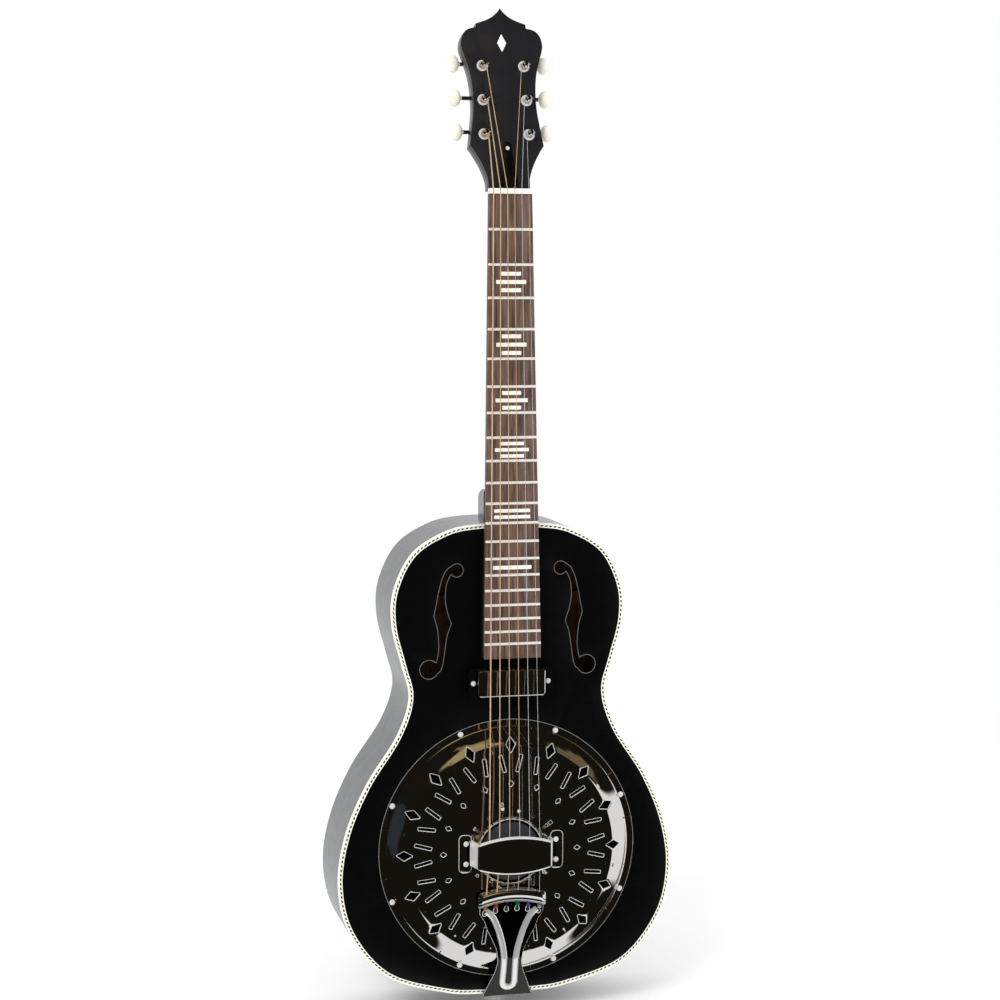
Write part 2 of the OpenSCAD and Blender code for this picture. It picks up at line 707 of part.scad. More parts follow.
module rounded_bar(x, z, r) {
    union() {
        square([2 * (x - r), 2 * z], center = true);
        square([2 * x, 2 * (z - r)], center = true);
        for (a = [-1, 1]) for (b = [-1, 1]) translate([a * (x - r), b * (z - r)])
            circle(r = r, $fn = 32);
    }
}
module pickup_ring() {
    color([0.03, 0.03, 0.03]) translate([0, 0, pickup_z]) difference() {
        slab(-ring_h, 0) rounded_bar(ring_x, pickup_half_z + 1, 5);
        slab(-ring_h - 1, 1) rounded_bar(pickup_x + 0.1, pickup_half_z - 1.4, 2);
        slab(-ring_h - 1, -ring_h + 3) rounded_bar(pickup_x + 0.1, pickup_half_z + 0.1, 3);
        for (x = [-1, 1]) y_pin(x * ring_screw_x, 0, -20, 5, 1.25, 24);
    }
}
module pickup_cover() {
    color([0.8, 0.8, 0.82]) translate([0, 0, pickup_z]) difference() {
        slab(-pickup_h, -ring_h + 3) rounded_bar(pickup_x, pickup_half_z, 3);
        slab(-pickup_h + 0.8, 0) rounded_bar(pickup_x - 0.8, pickup_half_z - 0.8, 2.2);
    }
}
module pickup_coil() {
    color([0.1, 0.1, 0.1]) translate([0, 0, pickup_z]) slab(-pickup_h + 1, -1) rounded_bar(31, 9, 5);
}
module pickup_lead() {
    color([0.1, 0.1, 0.1]) tube([[0, -0.9, pickup_z], [0, 30, pickup_z], [0, 33, pickup_z - 3],
        [0, 33, -530], [60, 60, -600], [110, 75, -680], [60, 70, -750], [3, endpin_y, -765],
        [3, endpin_y, endpin_inner_z + 0.1]], 1.2, 12);
}

// ---- tailpiece ----------------------------------------------------------------------------

// Half the plate's outline: half width, and z from the bar's lower edge
tail_half = [[32.5, 8], [32.5, -8], [30.5, -12], [27.5, -16], [24.5, -25], [20, -34], [14.4, -47],
    [12.5, -58], [12.9, -64], [15, -72], [19.5, -83], [25, -97], [25, -99]];
module tail_plate_outline() {
    k = len(tail_half);
    h = concat([for (i = [0:2]) tail_half[i]], curve([for (i = [3:k - 2]) tail_half[i]], 4),
        [tail_half[k - 1]]);
    polygon(concat(h, reversed(flip(h))));
}
// Side view of the plate's outer face: z from the bar's lower edge, height over the soundboard
tail_fold = [[8, 20.15], [0, tail_plate_h], [-30, 17.6], [-57, 14.2], [-78, 9.2], [-98, 3.2]];
// What lies between two heights over the plate's outer face, all along the fold
module fold_layer(low, high) {
    translate([-40, 0, 0]) rotate([90, 0, 90]) linear_extrude(80)
        polygon(concat([for (q = tail_fold) [-q[1] - high, q[0]]],
            [for (q = reversed(tail_fold)) [-q[1] - low, q[0]]]));
}
rib_half_w = 3.2;
rib_foot_z = -82.5;
function rib_x(t) = 6.2 + 11.3 * pow(1 - t, 1.7);
function rib_line(side) = [for (j = [0:14]) let (t = j / 14)
    [rib_x(t) + side * rib_half_w, mix(-9, rib_foot_z, t)]];
// Flat ribbon that bends round the tailpiece's foot as a long U
module rib_outline() {
    for (m = [0, 1]) mirror([m, 0]) polygon(concat(rib_line(1), reversed(rib_line(-1))));
    difference() {
        translate([0, rib_foot_z]) circle(r = rib_x(1) + rib_half_w, $fn = 48);
        translate([0, rib_foot_z]) circle(r = rib_x(1) - rib_half_w, $fn = 32);
        translate([-20, rib_foot_z]) square([40, 20]);
    }
}
module tailpiece() {
    color([0.8, 0.8, 0.82]) difference() {
        union() {
            translate([0, 0, bar_low_z]) {
                intersection() {
                    slab(-40, 0) tail_plate_outline();
                    fold_layer(-tail_plate_t, 0);
                }
                intersection() {
                    slab(-40, 0) rib_outline();
                    fold_layer(-tail_plate_t / 2, rib_t);
                }
            }
            slab(-bar_high_h, -bar_low_h) bar_outline();
            translate([-25, -tail_end_h, tail_end_z - 1.6])
                cube([50, tail_strap_y + tail_end_h, 1.6]);
        }
        for (i = [0:5]) {
            rod(saddle_pt(i), tail_pt(i) + (tail_pt(i) - saddle_pt(i)) * 0.1, string_d[i] / 2 + 0.15, 20);
            keyhole(tail_pt(i)[0]);
        }
        rod([0, endpin_y, tail_end_z + 2], [0, endpin_y, tail_end_z - 5], endpin_hole_r, 40);
    }
}
module bar_outline() {
    intersection() {
        difference() {
            translate([0, bar_top_z - bar_plan_r]) circle(r = bar_plan_r, $fn = 240);
            translate([0, bar_low_centre]) circle(r = bar_low_r, $fn = 240);
        }
        translate([-bar_x, bar_low_z - 8]) square([2 * bar_x, 40]);
    }
}
module keyhole(x) {
    z = bar_low(x) - keyhole_drop;
    y0 = -tail_plate_h - 4;
    y_pin(x, z, y0, y0 + 10, 1.9, 24);
    translate([x - 0.8, y0, z]) cube([1.6, 10, 4]);
}

// ---- tail end -----------------------------------------------------------------------------

module endpin_jack() {
    color("silver") difference() {
        union() {
            rod([0, endpin_y, endpin_inner_z], [0, endpin_y, tail_end_z - 1.62], endpin_r, 40);
            rod([0, endpin_y, tail_end_z - 1.62], [0, endpin_y, tail_end_z - 4], 9, 48);
            rod([0, endpin_y, tail_end_z - 4], [0, endpin_y, tail_end_z - 13], 5.5, 40);
            rod([0, endpin_y, tail_end_z - 13], [0, endpin_y, tail_end_z - 15], 8, 48);
        }
        rod([0, endpin_y, endpin_inner_z - 4], [0, endpin_y, tail_end_z - 4], contact_room_r, 40);
        rod([0, endpin_y, tail_end_z - 5], [0, endpin_y, tail_end_z - 20], plug_bore_r, 40);
    }
}

// ---- tuners -------------------------------------------------------------------------------

plate_x = 21.5;
plate_screw_v = [post_first - 9, post_first + 17.5, post_first + 53, post_first + 85.5];
function button_side(i) = i < 3 ? -1 : 1;
module tuner_plates() {
    color("silver") head_frame() difference() {
        union() {
            for (m = [-1, 1]) translate([m * plate_x, 0, 0]) slab(head_t, head_t + tuner_plate_t)
                translate([0, post_first + post_pitch + 4]) rounded_bar(8.6, 54, 4);
            for (i = [0:5]) for (s = [-1, 1])
                translate([post_x[i] + s * lug_gap - lug_t / 2, head_t + tuner_plate_t,
                    post_v(i) + worm_lift - 3.4]) cube([lug_t, gear_n - head_t + 2.2, 6.8]);
        }
        for (i = [0:5]) {
            y_pin(post_x[i], post_v(i), 0, 40, post_r + running_gap, 40);
            translate([post_x[i] - 15, gear_n, post_v(i) + worm_lift]) rotate([0, 90, 0])
                cylinder(h = 30, r = shaft_r + running_gap, $fn = 40);
        }
        for (m = [-1, 1]) for (v = plate_screw_v) y_pin(m * plate_x, v, 0, 40, 1.2, 24);
    }
}
module tuner_bushings() {
    color("silver") head_frame() for (i = [0:5]) difference() {
        union() {
            y_pin(post_x[i], post_v(i), -1.2, 0, bushing_r, 48);
            y_pin(post_x[i], post_v(i), -0.5, 8, post_hole_r - running_gap, 48);
        }
        y_pin(post_x[i], post_v(i), -5, 12, post_r + running_gap, 48);
    }
}
module string_post(i) {
    color("silver") head_frame() translate([post_x[i], 0, post_v(i)]) difference() {
        rotate([90, 0, 0]) union() {
            translate([0, 0, -gear_n - gear_t / 2 - 1])
                cylinder(h = gear_n + gear_t / 2 + 3.2, r = post_r, $fn = 48);
            translate([0, 0, 2.2]) cylinder(h = 5.2, r = post_waist_r, $fn = 48);
            translate([0, 0, 7.4]) cylinder(h = post_top_n - 8.4, r = post_r, $fn = 48);
            translate([0, 0, post_top_n - 1]) cylinder(h = 1, r1 = post_r, r2 = post_r - 0.8, $fn = 48);
            translate([0, 0, -gear_n - gear_t / 2]) linear_extrude(gear_t) gear_outline();
        }
        translate([-6, -8.7, 0]) rotate([0, 90, 0]) cylinder(h = 12, r = 0.9, $fn = 24);
    }
}
// A tooth points along +z of the headstock at rest, where it sits in the worm's groove
module gear_outline() {
    step = 360 / gear_teeth;
    root = gear_r - 0.75;
    tip = gear_r + 0.55;
    polygon([for (k = [0:gear_teeth - 1]) for (c = [[-6.6, root], [-3.6, gear_r - 0.2], [-1.7, tip],
        [1.7, tip], [3.6, gear_r - 0.2], [6.6, root]]) let (a = 90 + k * step + c[0])
        c[1] * [cos(a), sin(a)]]);
}
// Threaded stretch round x: a groove at rest faces the gear's top tooth
thread_sides = 14;
thread_rings = 6;
function thread_wave(u) = let (w = abs(u - floor(u) - 0.5) * 2)
    mix(worm_core_r, worm_crest_r, min(1, max(0, (w - 0.5) / 0.22)));
module worm_thread() {
    n = round(worm_turns * thread_rings);
    len = worm_turns * worm_pitch;
    function point(j, k) = let (x = (j / n - 0.5) * len, a = 360 * k / thread_sides,
        r = j == 0 || j == n ? worm_core_r : thread_wave(x / worm_pitch - a / 360 + 0.5))
        [x, -r * sin(a), -r * cos(a)];
    polyhedron(points = [for (j = [0:n]) for (k = [0:thread_sides - 1]) point(j, k)],
        faces = concat([[for (k = [thread_sides - 1:-1:0]) k]],
            [for (j = [0:n - 1]) for (k = [0:thread_sides - 1])
                let (l = (k + 1) % thread_sides, a = j * thread_sides, b = a + thread_sides)
                each [[a + k, b + l, b + k], [a + k, a + l, b + l]]],
            [[for (k = [0:thread_sides - 1]) n * thread_sides + k]]), convexity = 8);
}
module worm_shaft(i) {
    s = button_side(i);
    half = worm_turns * worm_pitch / 2;
    color("dimgray") head_frame() translate([post_x[i], gear_n, post_v(i) + worm_lift]) {
        worm_thread();
        rotate([0, s * 90, 0]) {
            translate([0, 0, -lug_gap - 1.8])
                cylinder(h = lug_gap + 1.8 - half + 0.2, r = shaft_r, $fn = 40);
            translate([0, 0, half - 0.2])
                cylinder(h = button_x - abs(post_x[i]) - 1 - half + 0.2, r = shaft_r, $fn = 40);
        }
    }
}
module tuner_button(i) {
    s = button_side(i);
    color([0.93, 0.9, 0.82]) head_frame() translate([s * button_x, gear_n, post_v(i) + worm_lift])
        difference() {
            intersection() {
                translate([0, button_t / 2, 0]) rotate([90, 0, 0]) linear_extrude(button_t)
                    scale([button_len, button_w]) circle(d = 1, $fn = 64);
                rotate([0, 90, 0]) cylinder(h = 40, r = button_w, center = true, $fn = 64);
            }
            rotate([0, s * 90, 0]) translate([0, 0, -20])
                cylinder(h = 19.5, r = shaft_r + seat_gap, $fn = 40);
        }
}

module guitar_string(i) {
    color(string_color[i]) {
        tube([post_pt(i), nut_pt(i), saddle_pt(i), tail_pt(i)], string_d[i] / 2, wire_sides);
        translate(tail_pt(i) + (ball_r + seat_gap) * unit(tail_pt(i) - saddle_pt(i)))
            rotate([0, 90, 0]) cylinder(h = ball_len, r = ball_r, center = true, $fn = 32);
    }
}

soundboard();
back();
side(-1);  // sides_bass
side(1);  // sides_treble
binding();
purfling();
linings();
neck_block();
tail_block();
soundwell();
braces();
neck();
headplate();
fretboard();
frets();
fretboard_inlays();
nut();
truss_rod();
truss_rod_nut();
truss_rod_cover();
neck_bolts();
fretboard_riser();
tuner_plates();
tuner_bushings();
screws();
for (i = [0:5]) tuner_button(i);
for (i = [0:5]) worm_shaft(i);
for (i = [0:5]) string_post(i);
for (i = [0:5]) guitar_string(i);
cone();
biscuit();
saddle();
coverplate();
palm_rest();
pickup_ring();
pickup_cover();
pickup_coil();
tailpiece();
endpin_jack();
pickup_lead();
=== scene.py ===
import json
import math

import bmesh
import bpy
from mathutils import Matrix, Vector
from mathutils.geometry import delaunay_2d_cdt


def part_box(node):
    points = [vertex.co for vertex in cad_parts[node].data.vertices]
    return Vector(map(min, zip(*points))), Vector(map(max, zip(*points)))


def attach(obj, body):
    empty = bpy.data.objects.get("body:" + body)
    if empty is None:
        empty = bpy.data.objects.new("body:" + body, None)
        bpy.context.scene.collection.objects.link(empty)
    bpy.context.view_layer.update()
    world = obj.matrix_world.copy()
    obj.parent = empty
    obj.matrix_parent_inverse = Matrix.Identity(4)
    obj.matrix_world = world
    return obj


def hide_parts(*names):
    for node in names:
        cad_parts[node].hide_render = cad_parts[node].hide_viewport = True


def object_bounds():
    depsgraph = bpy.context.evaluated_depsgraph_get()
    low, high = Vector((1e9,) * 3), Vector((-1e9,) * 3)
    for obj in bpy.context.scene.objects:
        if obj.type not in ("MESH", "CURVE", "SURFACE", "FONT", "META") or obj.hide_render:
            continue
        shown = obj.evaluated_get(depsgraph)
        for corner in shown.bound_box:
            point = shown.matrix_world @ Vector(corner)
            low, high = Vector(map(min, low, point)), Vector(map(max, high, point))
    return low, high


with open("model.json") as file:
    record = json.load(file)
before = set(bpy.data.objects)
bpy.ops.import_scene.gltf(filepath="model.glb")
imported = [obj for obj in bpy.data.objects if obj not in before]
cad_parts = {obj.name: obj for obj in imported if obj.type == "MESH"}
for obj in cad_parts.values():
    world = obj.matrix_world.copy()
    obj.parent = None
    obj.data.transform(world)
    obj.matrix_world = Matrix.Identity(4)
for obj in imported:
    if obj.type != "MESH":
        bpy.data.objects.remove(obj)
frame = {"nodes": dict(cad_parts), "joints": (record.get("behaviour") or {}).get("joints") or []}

# Lengths in this script are millimetres unless a name says otherwise; MM turns them into metres.
MM = 0.001
CAD_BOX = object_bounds()
NODES = frame["nodes"]
STRING_COUNT = 6


def box_mm(node):
    """Lowest and highest corner of a CAD node, in millimetres."""
    low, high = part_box(node)
    return low / MM, high / MM


def add_object(name, data):
    made = bpy.data.objects.new(name, data)
    bpy.context.scene.collection.objects.link(made)
    return made


# ---- camera ----------------------------------------------

CAMERA_PLACE = (-547.5, -2198.1, -51.2)
CAMERA_YAW, CAMERA_PITCH, CAMERA_ROLL = -13.753, -6.293, -0.337
CAMERA_LENS = 83.31


def make_camera():
    """Camera at the viewing angle, with its turn given as yaw, pitch and roll in degrees."""
    data = bpy.data.cameras.new("camera")
    data.lens = CAMERA_LENS
    data.sensor_width = 36
    data.clip_start, data.clip_end = 0.05, 60
    camera = add_object("camera", data)
    turn = (Matrix.Rotation(math.radians(CAMERA_YAW), 3, "Z")
            @ Matrix.Rotation(math.radians(CAMERA_PITCH), 3, "X")
            @ Matrix.Rotation(math.radians(CAMERA_ROLL), 3, "Y"))
    lens_axes = turn @ Matrix.Rotation(math.radians(90), 3, "X")
    camera.matrix_world = Matrix.Translation(Vector(CAMERA_PLACE) * MM) @ lens_axes.to_4x4()
    bpy.context.scene.camera = camera


# ---- node-tree helpers -----------------------------------

def add_node(tree, kind, **values):
    """New node: each value feeds or sets the input of that name, or else the setting."""
    made = tree.nodes.new(kind)
    for key, value in values.items():
        if key not in made.inputs.keys():
            setattr(made, key, value)
        elif isinstance(value, bpy.types.NodeSocket):
            tree.links.new(value, made.inputs[key])
        else:
            made.inputs[key].default_value = value
    return made


class Finish:
    """A procedural material under construction."""

    def __init__(self, name, color, roughness, metallic=0.0, **more):
        self.material = bpy.data.materials.new(name)
        self.material.use_nodes = True
        self.tree = self.material.node_tree
        self.shader = self.tree.nodes["Principled BSDF"]
        self.set("Base Color", (*color, 1))
        self.set("Roughness", roughness)
        self.set("Metallic", metallic)
        for key, value in more.items():
            self.set(key.replace("_", " "), value)

    def set(self, key, value):
        self.shader.inputs[key].default_value = value

    def node(self, kind, **values):
        return add_node(self.tree, kind, **values)

    def link(self, out, into):
        self.tree.links.new(out, into)

    def place(self, stretch=(1, 1, 1)):
        """Position in the piece's own frame, in metres, times stretch."""
        where = self.node("ShaderNodeTexCoord").outputs["Object"]
        return self.node("ShaderNodeMapping", Vector=where, Scale=stretch).outputs["Vector"]

    def noise(self, scale, detail=4.0, stretch=(1, 1, 1), distortion=0.0):
        return self.node("ShaderNodeTexNoise", Vector=self.place(stretch), Scale=scale, Detail=detail,
                         Distortion=distortion).outputs["Fac"]

    def spread(self, value, low, high, start=0.3, end=0.7):
        """Value from start to end turned into low to high."""
        span = {"From Min": start, "From Max": end, "To Min": low, "To Max": high}
        return self.node("ShaderNodeMapRange", Value=value, **span).outputs["Result"]

    def ramp(self, value, stops):
        made = self.node("ShaderNodeValToRGB", Fac=value)
        ramp = made.color_ramp
        while len(ramp.elements) < len(stops):
            ramp.elements.new(0.5)
        for element, (place, color) in zip(ramp.elements, stops):
            element.position = place
            element.color = (*color, 1)
        return made.outputs["Color"]

    def paint(self, color):
        self.link(color, self.shader.inputs["Base Color"])

    def rough(self, value):
        self.link(value, self.shader.inputs["Roughness"])

    def bump(self, height, strength, distance_mm):
        made = self.node("ShaderNodeBump", Height=height, Strength=strength, Distance=distance_mm * MM)
        self.link(made.outputs["Normal"], self.shader.inputs["Normal"])


# ---- materials -------------------------------------------

def lacquer(name, color, roughness, coat=0.25, shine=0.5):
    made = Finish(name, color, roughness, Coat_Weight=coat, Coat_Roughness=0.12, Specular_IOR_Level=shine)
    made.rough(made.spread(made.noise(90, 3), roughness - 0.03, roughness + 0.04))
    made.bump(made.noise(700, 3, (1, 1, 0.05)), 0.02, 0.05)
    return made.material


def cream_plastic(name, pale, deep, scale=60):
    made = Finish(name, pale, 0.3, Coat_Weight=0.2, Subsurface_Weight=0.08, Subsurface_Scale=0.001)
    made.paint(made.ramp(made.noise(scale, 5), [(0.3, deep), (0.7, pale)]))
    made.rough(made.spread(made.noise(300, 2), 0.25, 0.36))
    made.bump(made.noise(900, 2), 0.04, 0.03)
    return made.material


def rosewood():
    made = Finish("rosewood", (0.12, 0.07, 0.05), 0.5)
    streak = made.noise(420, 6, (1, 1, 0.035), 0.4)
    made.paint(made.ramp(streak, [(0.3, (0.042, 0.022, 0.016)), (0.5, (0.11, 0.062, 0.043)),
                                  (0.72, (0.18, 0.11, 0.08))]))
    pores = made.noise(2600, 3, (1, 1, 0.05))
    made.rough(made.spread(pores, 0.42, 0.62))
    made.bump(pores, 0.25, 0.08)
    return made.material


def pale_wood(name, light, dark, stretch=(1, 1, 0.05)):
    made = Finish(name, light, 0.6)
    grain = made.noise(300, 5, stretch, 0.3)
    made.paint(made.ramp(grain, [(0.3, dark), (0.7, light)]))
    made.rough(made.spread(grain, 0.5, 0.7))
    made.bump(grain, 0.15, 0.1)
    return made.material


def plated(name, color, roughness, smudge=0.03, grain=None, metallic=1.0):
    """Metal with faint smudges; grain is the scale of a brushed or turned texture."""
    made = Finish(name, color, roughness, metallic)
    made.rough(made.spread(made.noise(45, 4), roughness, roughness + smudge))
    if grain:
        made.bump(made.noise(grain, 3), 0.08, 0.03)
    return made.material


def pearl():
    made = Finish("pearl", (0.8, 0.79, 0.73), 0.2, Coat_Weight=0.5, Sheen_Weight=0.1)
    cloud = made.noise(240, 5, (1, 1, 1), 1.6)
    made.paint(made.ramp(cloud, [(0.3, (0.66, 0.66, 0.62)), (0.7, (0.88, 0.86, 0.8))]))
    made.bump(cloud, 0.03, 0.03)
    return made.material


def wound_wire():
    """Bronze wrap: fine ridges across the string, which runs along z."""
    made = Finish("bronze_wrap", (0.85, 0.62, 0.4), 0.3, 0.5)
    ridges = made.node("ShaderNodeTexWave", Vector=made.place(), Scale=520.0, Distortion=0.0,
                       bands_direction="Z")
    made.paint(made.ramp(made.noise(70, 3), [(0.3, (0.7, 0.46, 0.27)), (0.7, (0.9, 0.66, 0.44))]))
    made.bump(ridges.outputs["Fac"], 0.5, 0.08)
    return made.material


def spun_metal():
    """Fine rings round the cone's own axis, which runs along y."""
    made = Finish("spun_aluminium", (0.2, 0.2, 0.21), 0.3, 1.0)
    low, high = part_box("cone")
    centre = (low + high) / 2
    where = made.node("ShaderNodeTexCoord").outputs["Object"]
    shift = made.node("ShaderNodeMapping", Vector=where, Location=(-centre.x, 0, -centre.z))
    rings = made.node("ShaderNodeTexWave", Vector=shift.outputs["Vector"], Scale=160.0,
                      wave_type="RINGS", rings_direction="Y")
    made.bump(rings.outputs["Fac"], 0.2, 0.05)
    made.rough(made.spread(made.noise(60, 3), 0.24, 0.38))
    return made.material


def black_plastic():
    made = Finish("black_plastic", (0.012, 0.012, 0.012), 0.38)
    made.rough(made.spread(made.noise(400, 3), 0.32, 0.45))
    made.bump(made.noise(1500, 2), 0.08, 0.03)
    return made.material


def stained(name, color, lighter):
    made = Finish(name, color, 0.34, Coat_Weight=0.3)
    made.paint(made.ramp(made.noise(260, 4, (1, 1, 0.1)), [(0.3, color), (0.7, lighter)]))
    made.bump(made.noise(900, 2, (1, 1, 0.1)), 0.06, 0.04)
    return made.material


MATERIALS = {
    "black_lacquer": lacquer("black_lacquer", (0.0035, 0.0035, 0.004), 0.28),
    # The sides' lacquer is a lighter, bluer copy of the black lacquer: painted light for the white room
    # that the sides reflect.
    "side_lacquer_painted_light": lacquer("side_lacquer_painted_light", (0.014, 0.015, 0.019), 0.3, 0.5, 0.85),
    # The soundboard's lacquer is a darker copy of the black lacquer, with no coat and less shine: painted
    # shade.
    "front_lacquer_painted_shade": lacquer("front_lacquer_painted_shade", (0.0015, 0.0015, 0.0017), 0.3, 0.0, 0.22),
    "headplate_black": lacquer("headplate_black", (0.01, 0.01, 0.013), 0.36),
    "gloss_black": lacquer("gloss_black", (0.002, 0.002, 0.002), 0.12),
    "binding_cream": cream_plastic("binding_cream", (0.86, 0.84, 0.75), (0.8, 0.77, 0.66)),
    "rope_black": black_plastic(),
    "inside_brown": pale_wood("inside_brown", (0.26, 0.12, 0.07), (0.13, 0.055, 0.03)),
    "rosewood": rosewood(),
    "nickel_silver": plated("nickel_silver", (0.95, 0.93, 0.88), 0.25, 0.08, 900, 0.4),
    "screw_steel": plated("screw_steel", (0.86, 0.86, 0.84), 0.3, 0.06, None, 0.35),
    "pearl": pearl(),
    "bone": cream_plastic("bone", (0.86, 0.84, 0.76), (0.78, 0.75, 0.65), 200),
    "steel": plated("steel", (0.5, 0.5, 0.5), 0.3, 0.1, 900),
    "dark_steel": plated("dark_steel", (0.16, 0.16, 0.16), 0.3, 0.1, 900),
    "brass": plated("brass", (0.72, 0.52, 0.24), 0.25, 0.08, 900),
    "chrome": plated("chrome", (0.86, 0.86, 0.87), 0.035),
    "rib_nickel": plated("rib_nickel", (0.86, 0.86, 0.86), 0.14, 0.04, None, 0.7),
    # Thin grey lines: a painted highlight along edges that catch the light.
    "painted_highlight_grey": plated("painted_highlight_grey", (0.22, 0.22, 0.22), 0.3, 0.05, None, 0.3),
    # Bright, partly diffuse copy of chrome: a painted highlight for edges and small parts that catch the
    # light.
    "painted_highlight_chrome": plated("painted_highlight_chrome", (0.9, 0.89, 0.86), 0.22, 0.04, None, 0.45),
    "plate_dark": plated("plate_dark", (0.05, 0.048, 0.044), 0.08, 0.03),
    "cover_chrome": plated("cover_chrome", (0.82, 0.8, 0.77), 0.025, 0.015),
    "spun_aluminium": spun_metal(),
    "biscuit_dark": stained("biscuit_dark", (0.02, 0.025, 0.034), (0.036, 0.043, 0.056)),
    "maple": pale_wood("maple", (0.72, 0.56, 0.34), (0.6, 0.43, 0.24), (0.05, 1, 1)),
    "black_plastic": black_plastic(),
    "button_ivory": cream_plastic("button_ivory", (0.84, 0.81, 0.71), (0.78, 0.73, 0.6), 90),
    "bronze_string": wound_wire(),
    "plain_string": plated("plain_string", (0.84, 0.84, 0.85), 0.25, 0.05, 1500, 0.5),
}


# ---- mesh helpers ----------------------------------------

def seat(obj, body, replaces=()):
    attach(obj, body)
    if replaces:
        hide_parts(*replaces)
    return obj


def mesh_piece(name, points, faces, material, sharp=40, second=None, kinds=None):
    """Welded mesh from points in millimetres; kinds picks each face's material before the weld."""
    mesh = bpy.data.meshes.new(name)
    mesh.from_pydata([Vector(p) * MM for p in points], [], faces)
    mesh.materials.append(MATERIALS[material])
    if second:
        mesh.materials.append(MATERIALS[second])
    if kinds:
        mesh.polygons.foreach_set("material_index", kinds)
    bm = bmesh.new()
    bm.from_mesh(mesh)
    bmesh.ops.remove_doubles(bm, verts=bm.verts, dist=0.002 * MM)
    bmesh.ops.recalc_face_normals(bm, faces=bm.faces)
    bm.to_mesh(mesh)
    bm.free()
    mesh.polygons.foreach_set("use_smooth", [True] * len(mesh.polygons))
    mesh.set_sharp_from_angle(angle=math.radians(sharp))
    return add_object(name, mesh)


class Solid:
    """Points and faces of one or more closed shells, gathered for one piece."""

    def __init__(self):
        self.points = []
        self.faces = []

    def loft(self, rings, closed=False):
        """Skin over rings of equal length; closed joins the last ring to the first."""
        start, count, n = len(self.points), len(rings), len(rings[0])
        for ring in rings:
            self.points.extend(ring)
        for k in range(count if closed else count - 1):
            a, b = start + k * n, start + (k + 1) % count * n
            for j in range(n):
                m = (j + 1) % n
                self.faces.append((a + j, a + m, b + m, b + j))
        if not closed:
            self.faces.append(tuple(range(start + n - 1, start - 1, -1)))
            self.faces.append(tuple(range(start + (count - 1) * n, start + count * n)))
        return self

    def piece(self, name, material, sharp=40, second=None):
        return mesh_piece(name, self.points, self.faces, material, sharp, second)


def front_loops(node, tolerance=0.004):
    """Outlines of a CAD node's faces in the front plane, where y is 0, longest first, in mm."""
    bm = bmesh.new()
    bm.from_mesh(NODES[node].data)
    bmesh.ops.remove_doubles(bm, verts=bm.verts, dist=0.001 * MM)
    # The faces are dict keys, which keep their order, so that each run gives the same outlines.
    flat = dict.fromkeys(f for f in bm.faces if all(abs(v.co.y / MM) < tolerance for v in f.verts))
    after = {}
    for face in flat:
        for loop in face.loops:
            if sum(f in flat for f in loop.edge.link_faces) == 1:
                after[loop.vert] = loop.link_loop_next.vert
    loops = []
    while after:
        first = vert = next(iter(after))
        chain = []
        while vert in after:
            chain.append(vert.co.copy() / MM)
            vert = after.pop(vert)
        if vert is first:
            loops.append(chain)
    bm.free()
    return sorted(loops, key=lambda loop: -perimeter(loop))


def circle(count):
    """Cosine and sine at equal steps round a circle."""
    return [(math.cos(a), math.sin(a)) for a in (2 * math.pi * j / count for j in range(count))]


def quarter_round(radius, steps=6):
    """Gaps left by a quarter circle to the two sides of its corner: the first shrinks, the second grows."""
    return [(radius * (1 - math.sin(a)), radius * (1 - math.cos(a)))
            for a in (math.radians(90 * step / steps) for step in range(steps + 1))]


def bent(corner, before, after, steps):
    """Curve from corner + before to corner + after that leans towards the corner."""
    return [(corner + before) * (1 - t) ** 2 + corner * 2 * t * (1 - t) + (corner + after) * t ** 2
            for t in (step / steps for step in range(steps + 1))]


def heading(path, k):
    """Direction of an open path at its point k."""
    return (path[min(k + 1, len(path) - 1)] - path[max(k - 1, 0)]).normalized()


def sideways(loop, k):
    """Direction across a closed loop in x and z at its point k."""
    along = (loop[(k + 1) % len(loop)] - loop[k - 1]).normalized()
    return Vector((-along.z, 0, along.x))


def perimeter(loop):
    return sum((loop[k] - loop[k - 1]).length for k in range(len(loop)))


def spaced(loop, count):
    """The closed loop resampled to points at equal distances."""
    points = [*loop, loop[0]]
    lengths = [0.0]
    for a, b in zip(points, points[1:]):
        lengths.append(lengths[-1] + (b - a).length)
    made, k = [], 0
    for j in range(count):
        at = lengths[-1] * j / count
        while k < len(points) - 2 and lengths[k + 1] < at:
            k += 1
        span = lengths[k + 1] - lengths[k]
        made.append(points[k].lerp(points[k + 1], (at - lengths[k]) / span if span else 0))
    return made


def inset(loop, distance):
    """A smooth closed loop in x and z, moved inwards by distance."""
    turn = sum(loop[k - 1].x * loop[k].z - loop[k].x * loop[k - 1].z for k in range(len(loop)))
    inward = math.copysign(distance, turn)
    return [point + sideways(loop, k) * inward for k, point in enumerate(loop)]


def rounded_rectangle(half_x, half_z, radius, steps=8):
    """Outline points (x, z) round a rectangle with rounded corners."""
    radius = max(radius, 0.01)
    made = []
    for quarter, (sx, sz) in enumerate(((1, 1), (-1, 1), (-1, -1), (1, -1))):
        for step in range(steps + 1):
            angle = math.radians(90 * (quarter + step / steps))
            made.append((sx * (half_x - radius) + radius * math.cos(angle),
                         sz * (half_z - radius) + radius * math.sin(angle)))
    return made


def sweep(path, radius, sides):
    """Rings of a round tube along a path of points."""
    rings, across = [], None
    for k, point in enumerate(path):
        along = heading(path, k)
        guide = Vector((1, 0, 0)) if across is None else across
        if abs(guide.dot(along)) > 0.95:
            guide = Vector((0, 1, 0))
        across = (guide - along * guide.dot(along)).normalized()
        other = along.cross(across)
        rings.append([point + radius * (across * c + other * s) for c, s in circle(sides)])
    return rings


def hoop(loop, radius, sides=8):
    """Rings of a thin round line along a closed loop in x and z."""
    return [[point + radius * (sideways(loop, k) * c + Vector((0, s, 0))) for c, s in circle(sides)]
            for k, point in enumerate(loop)]


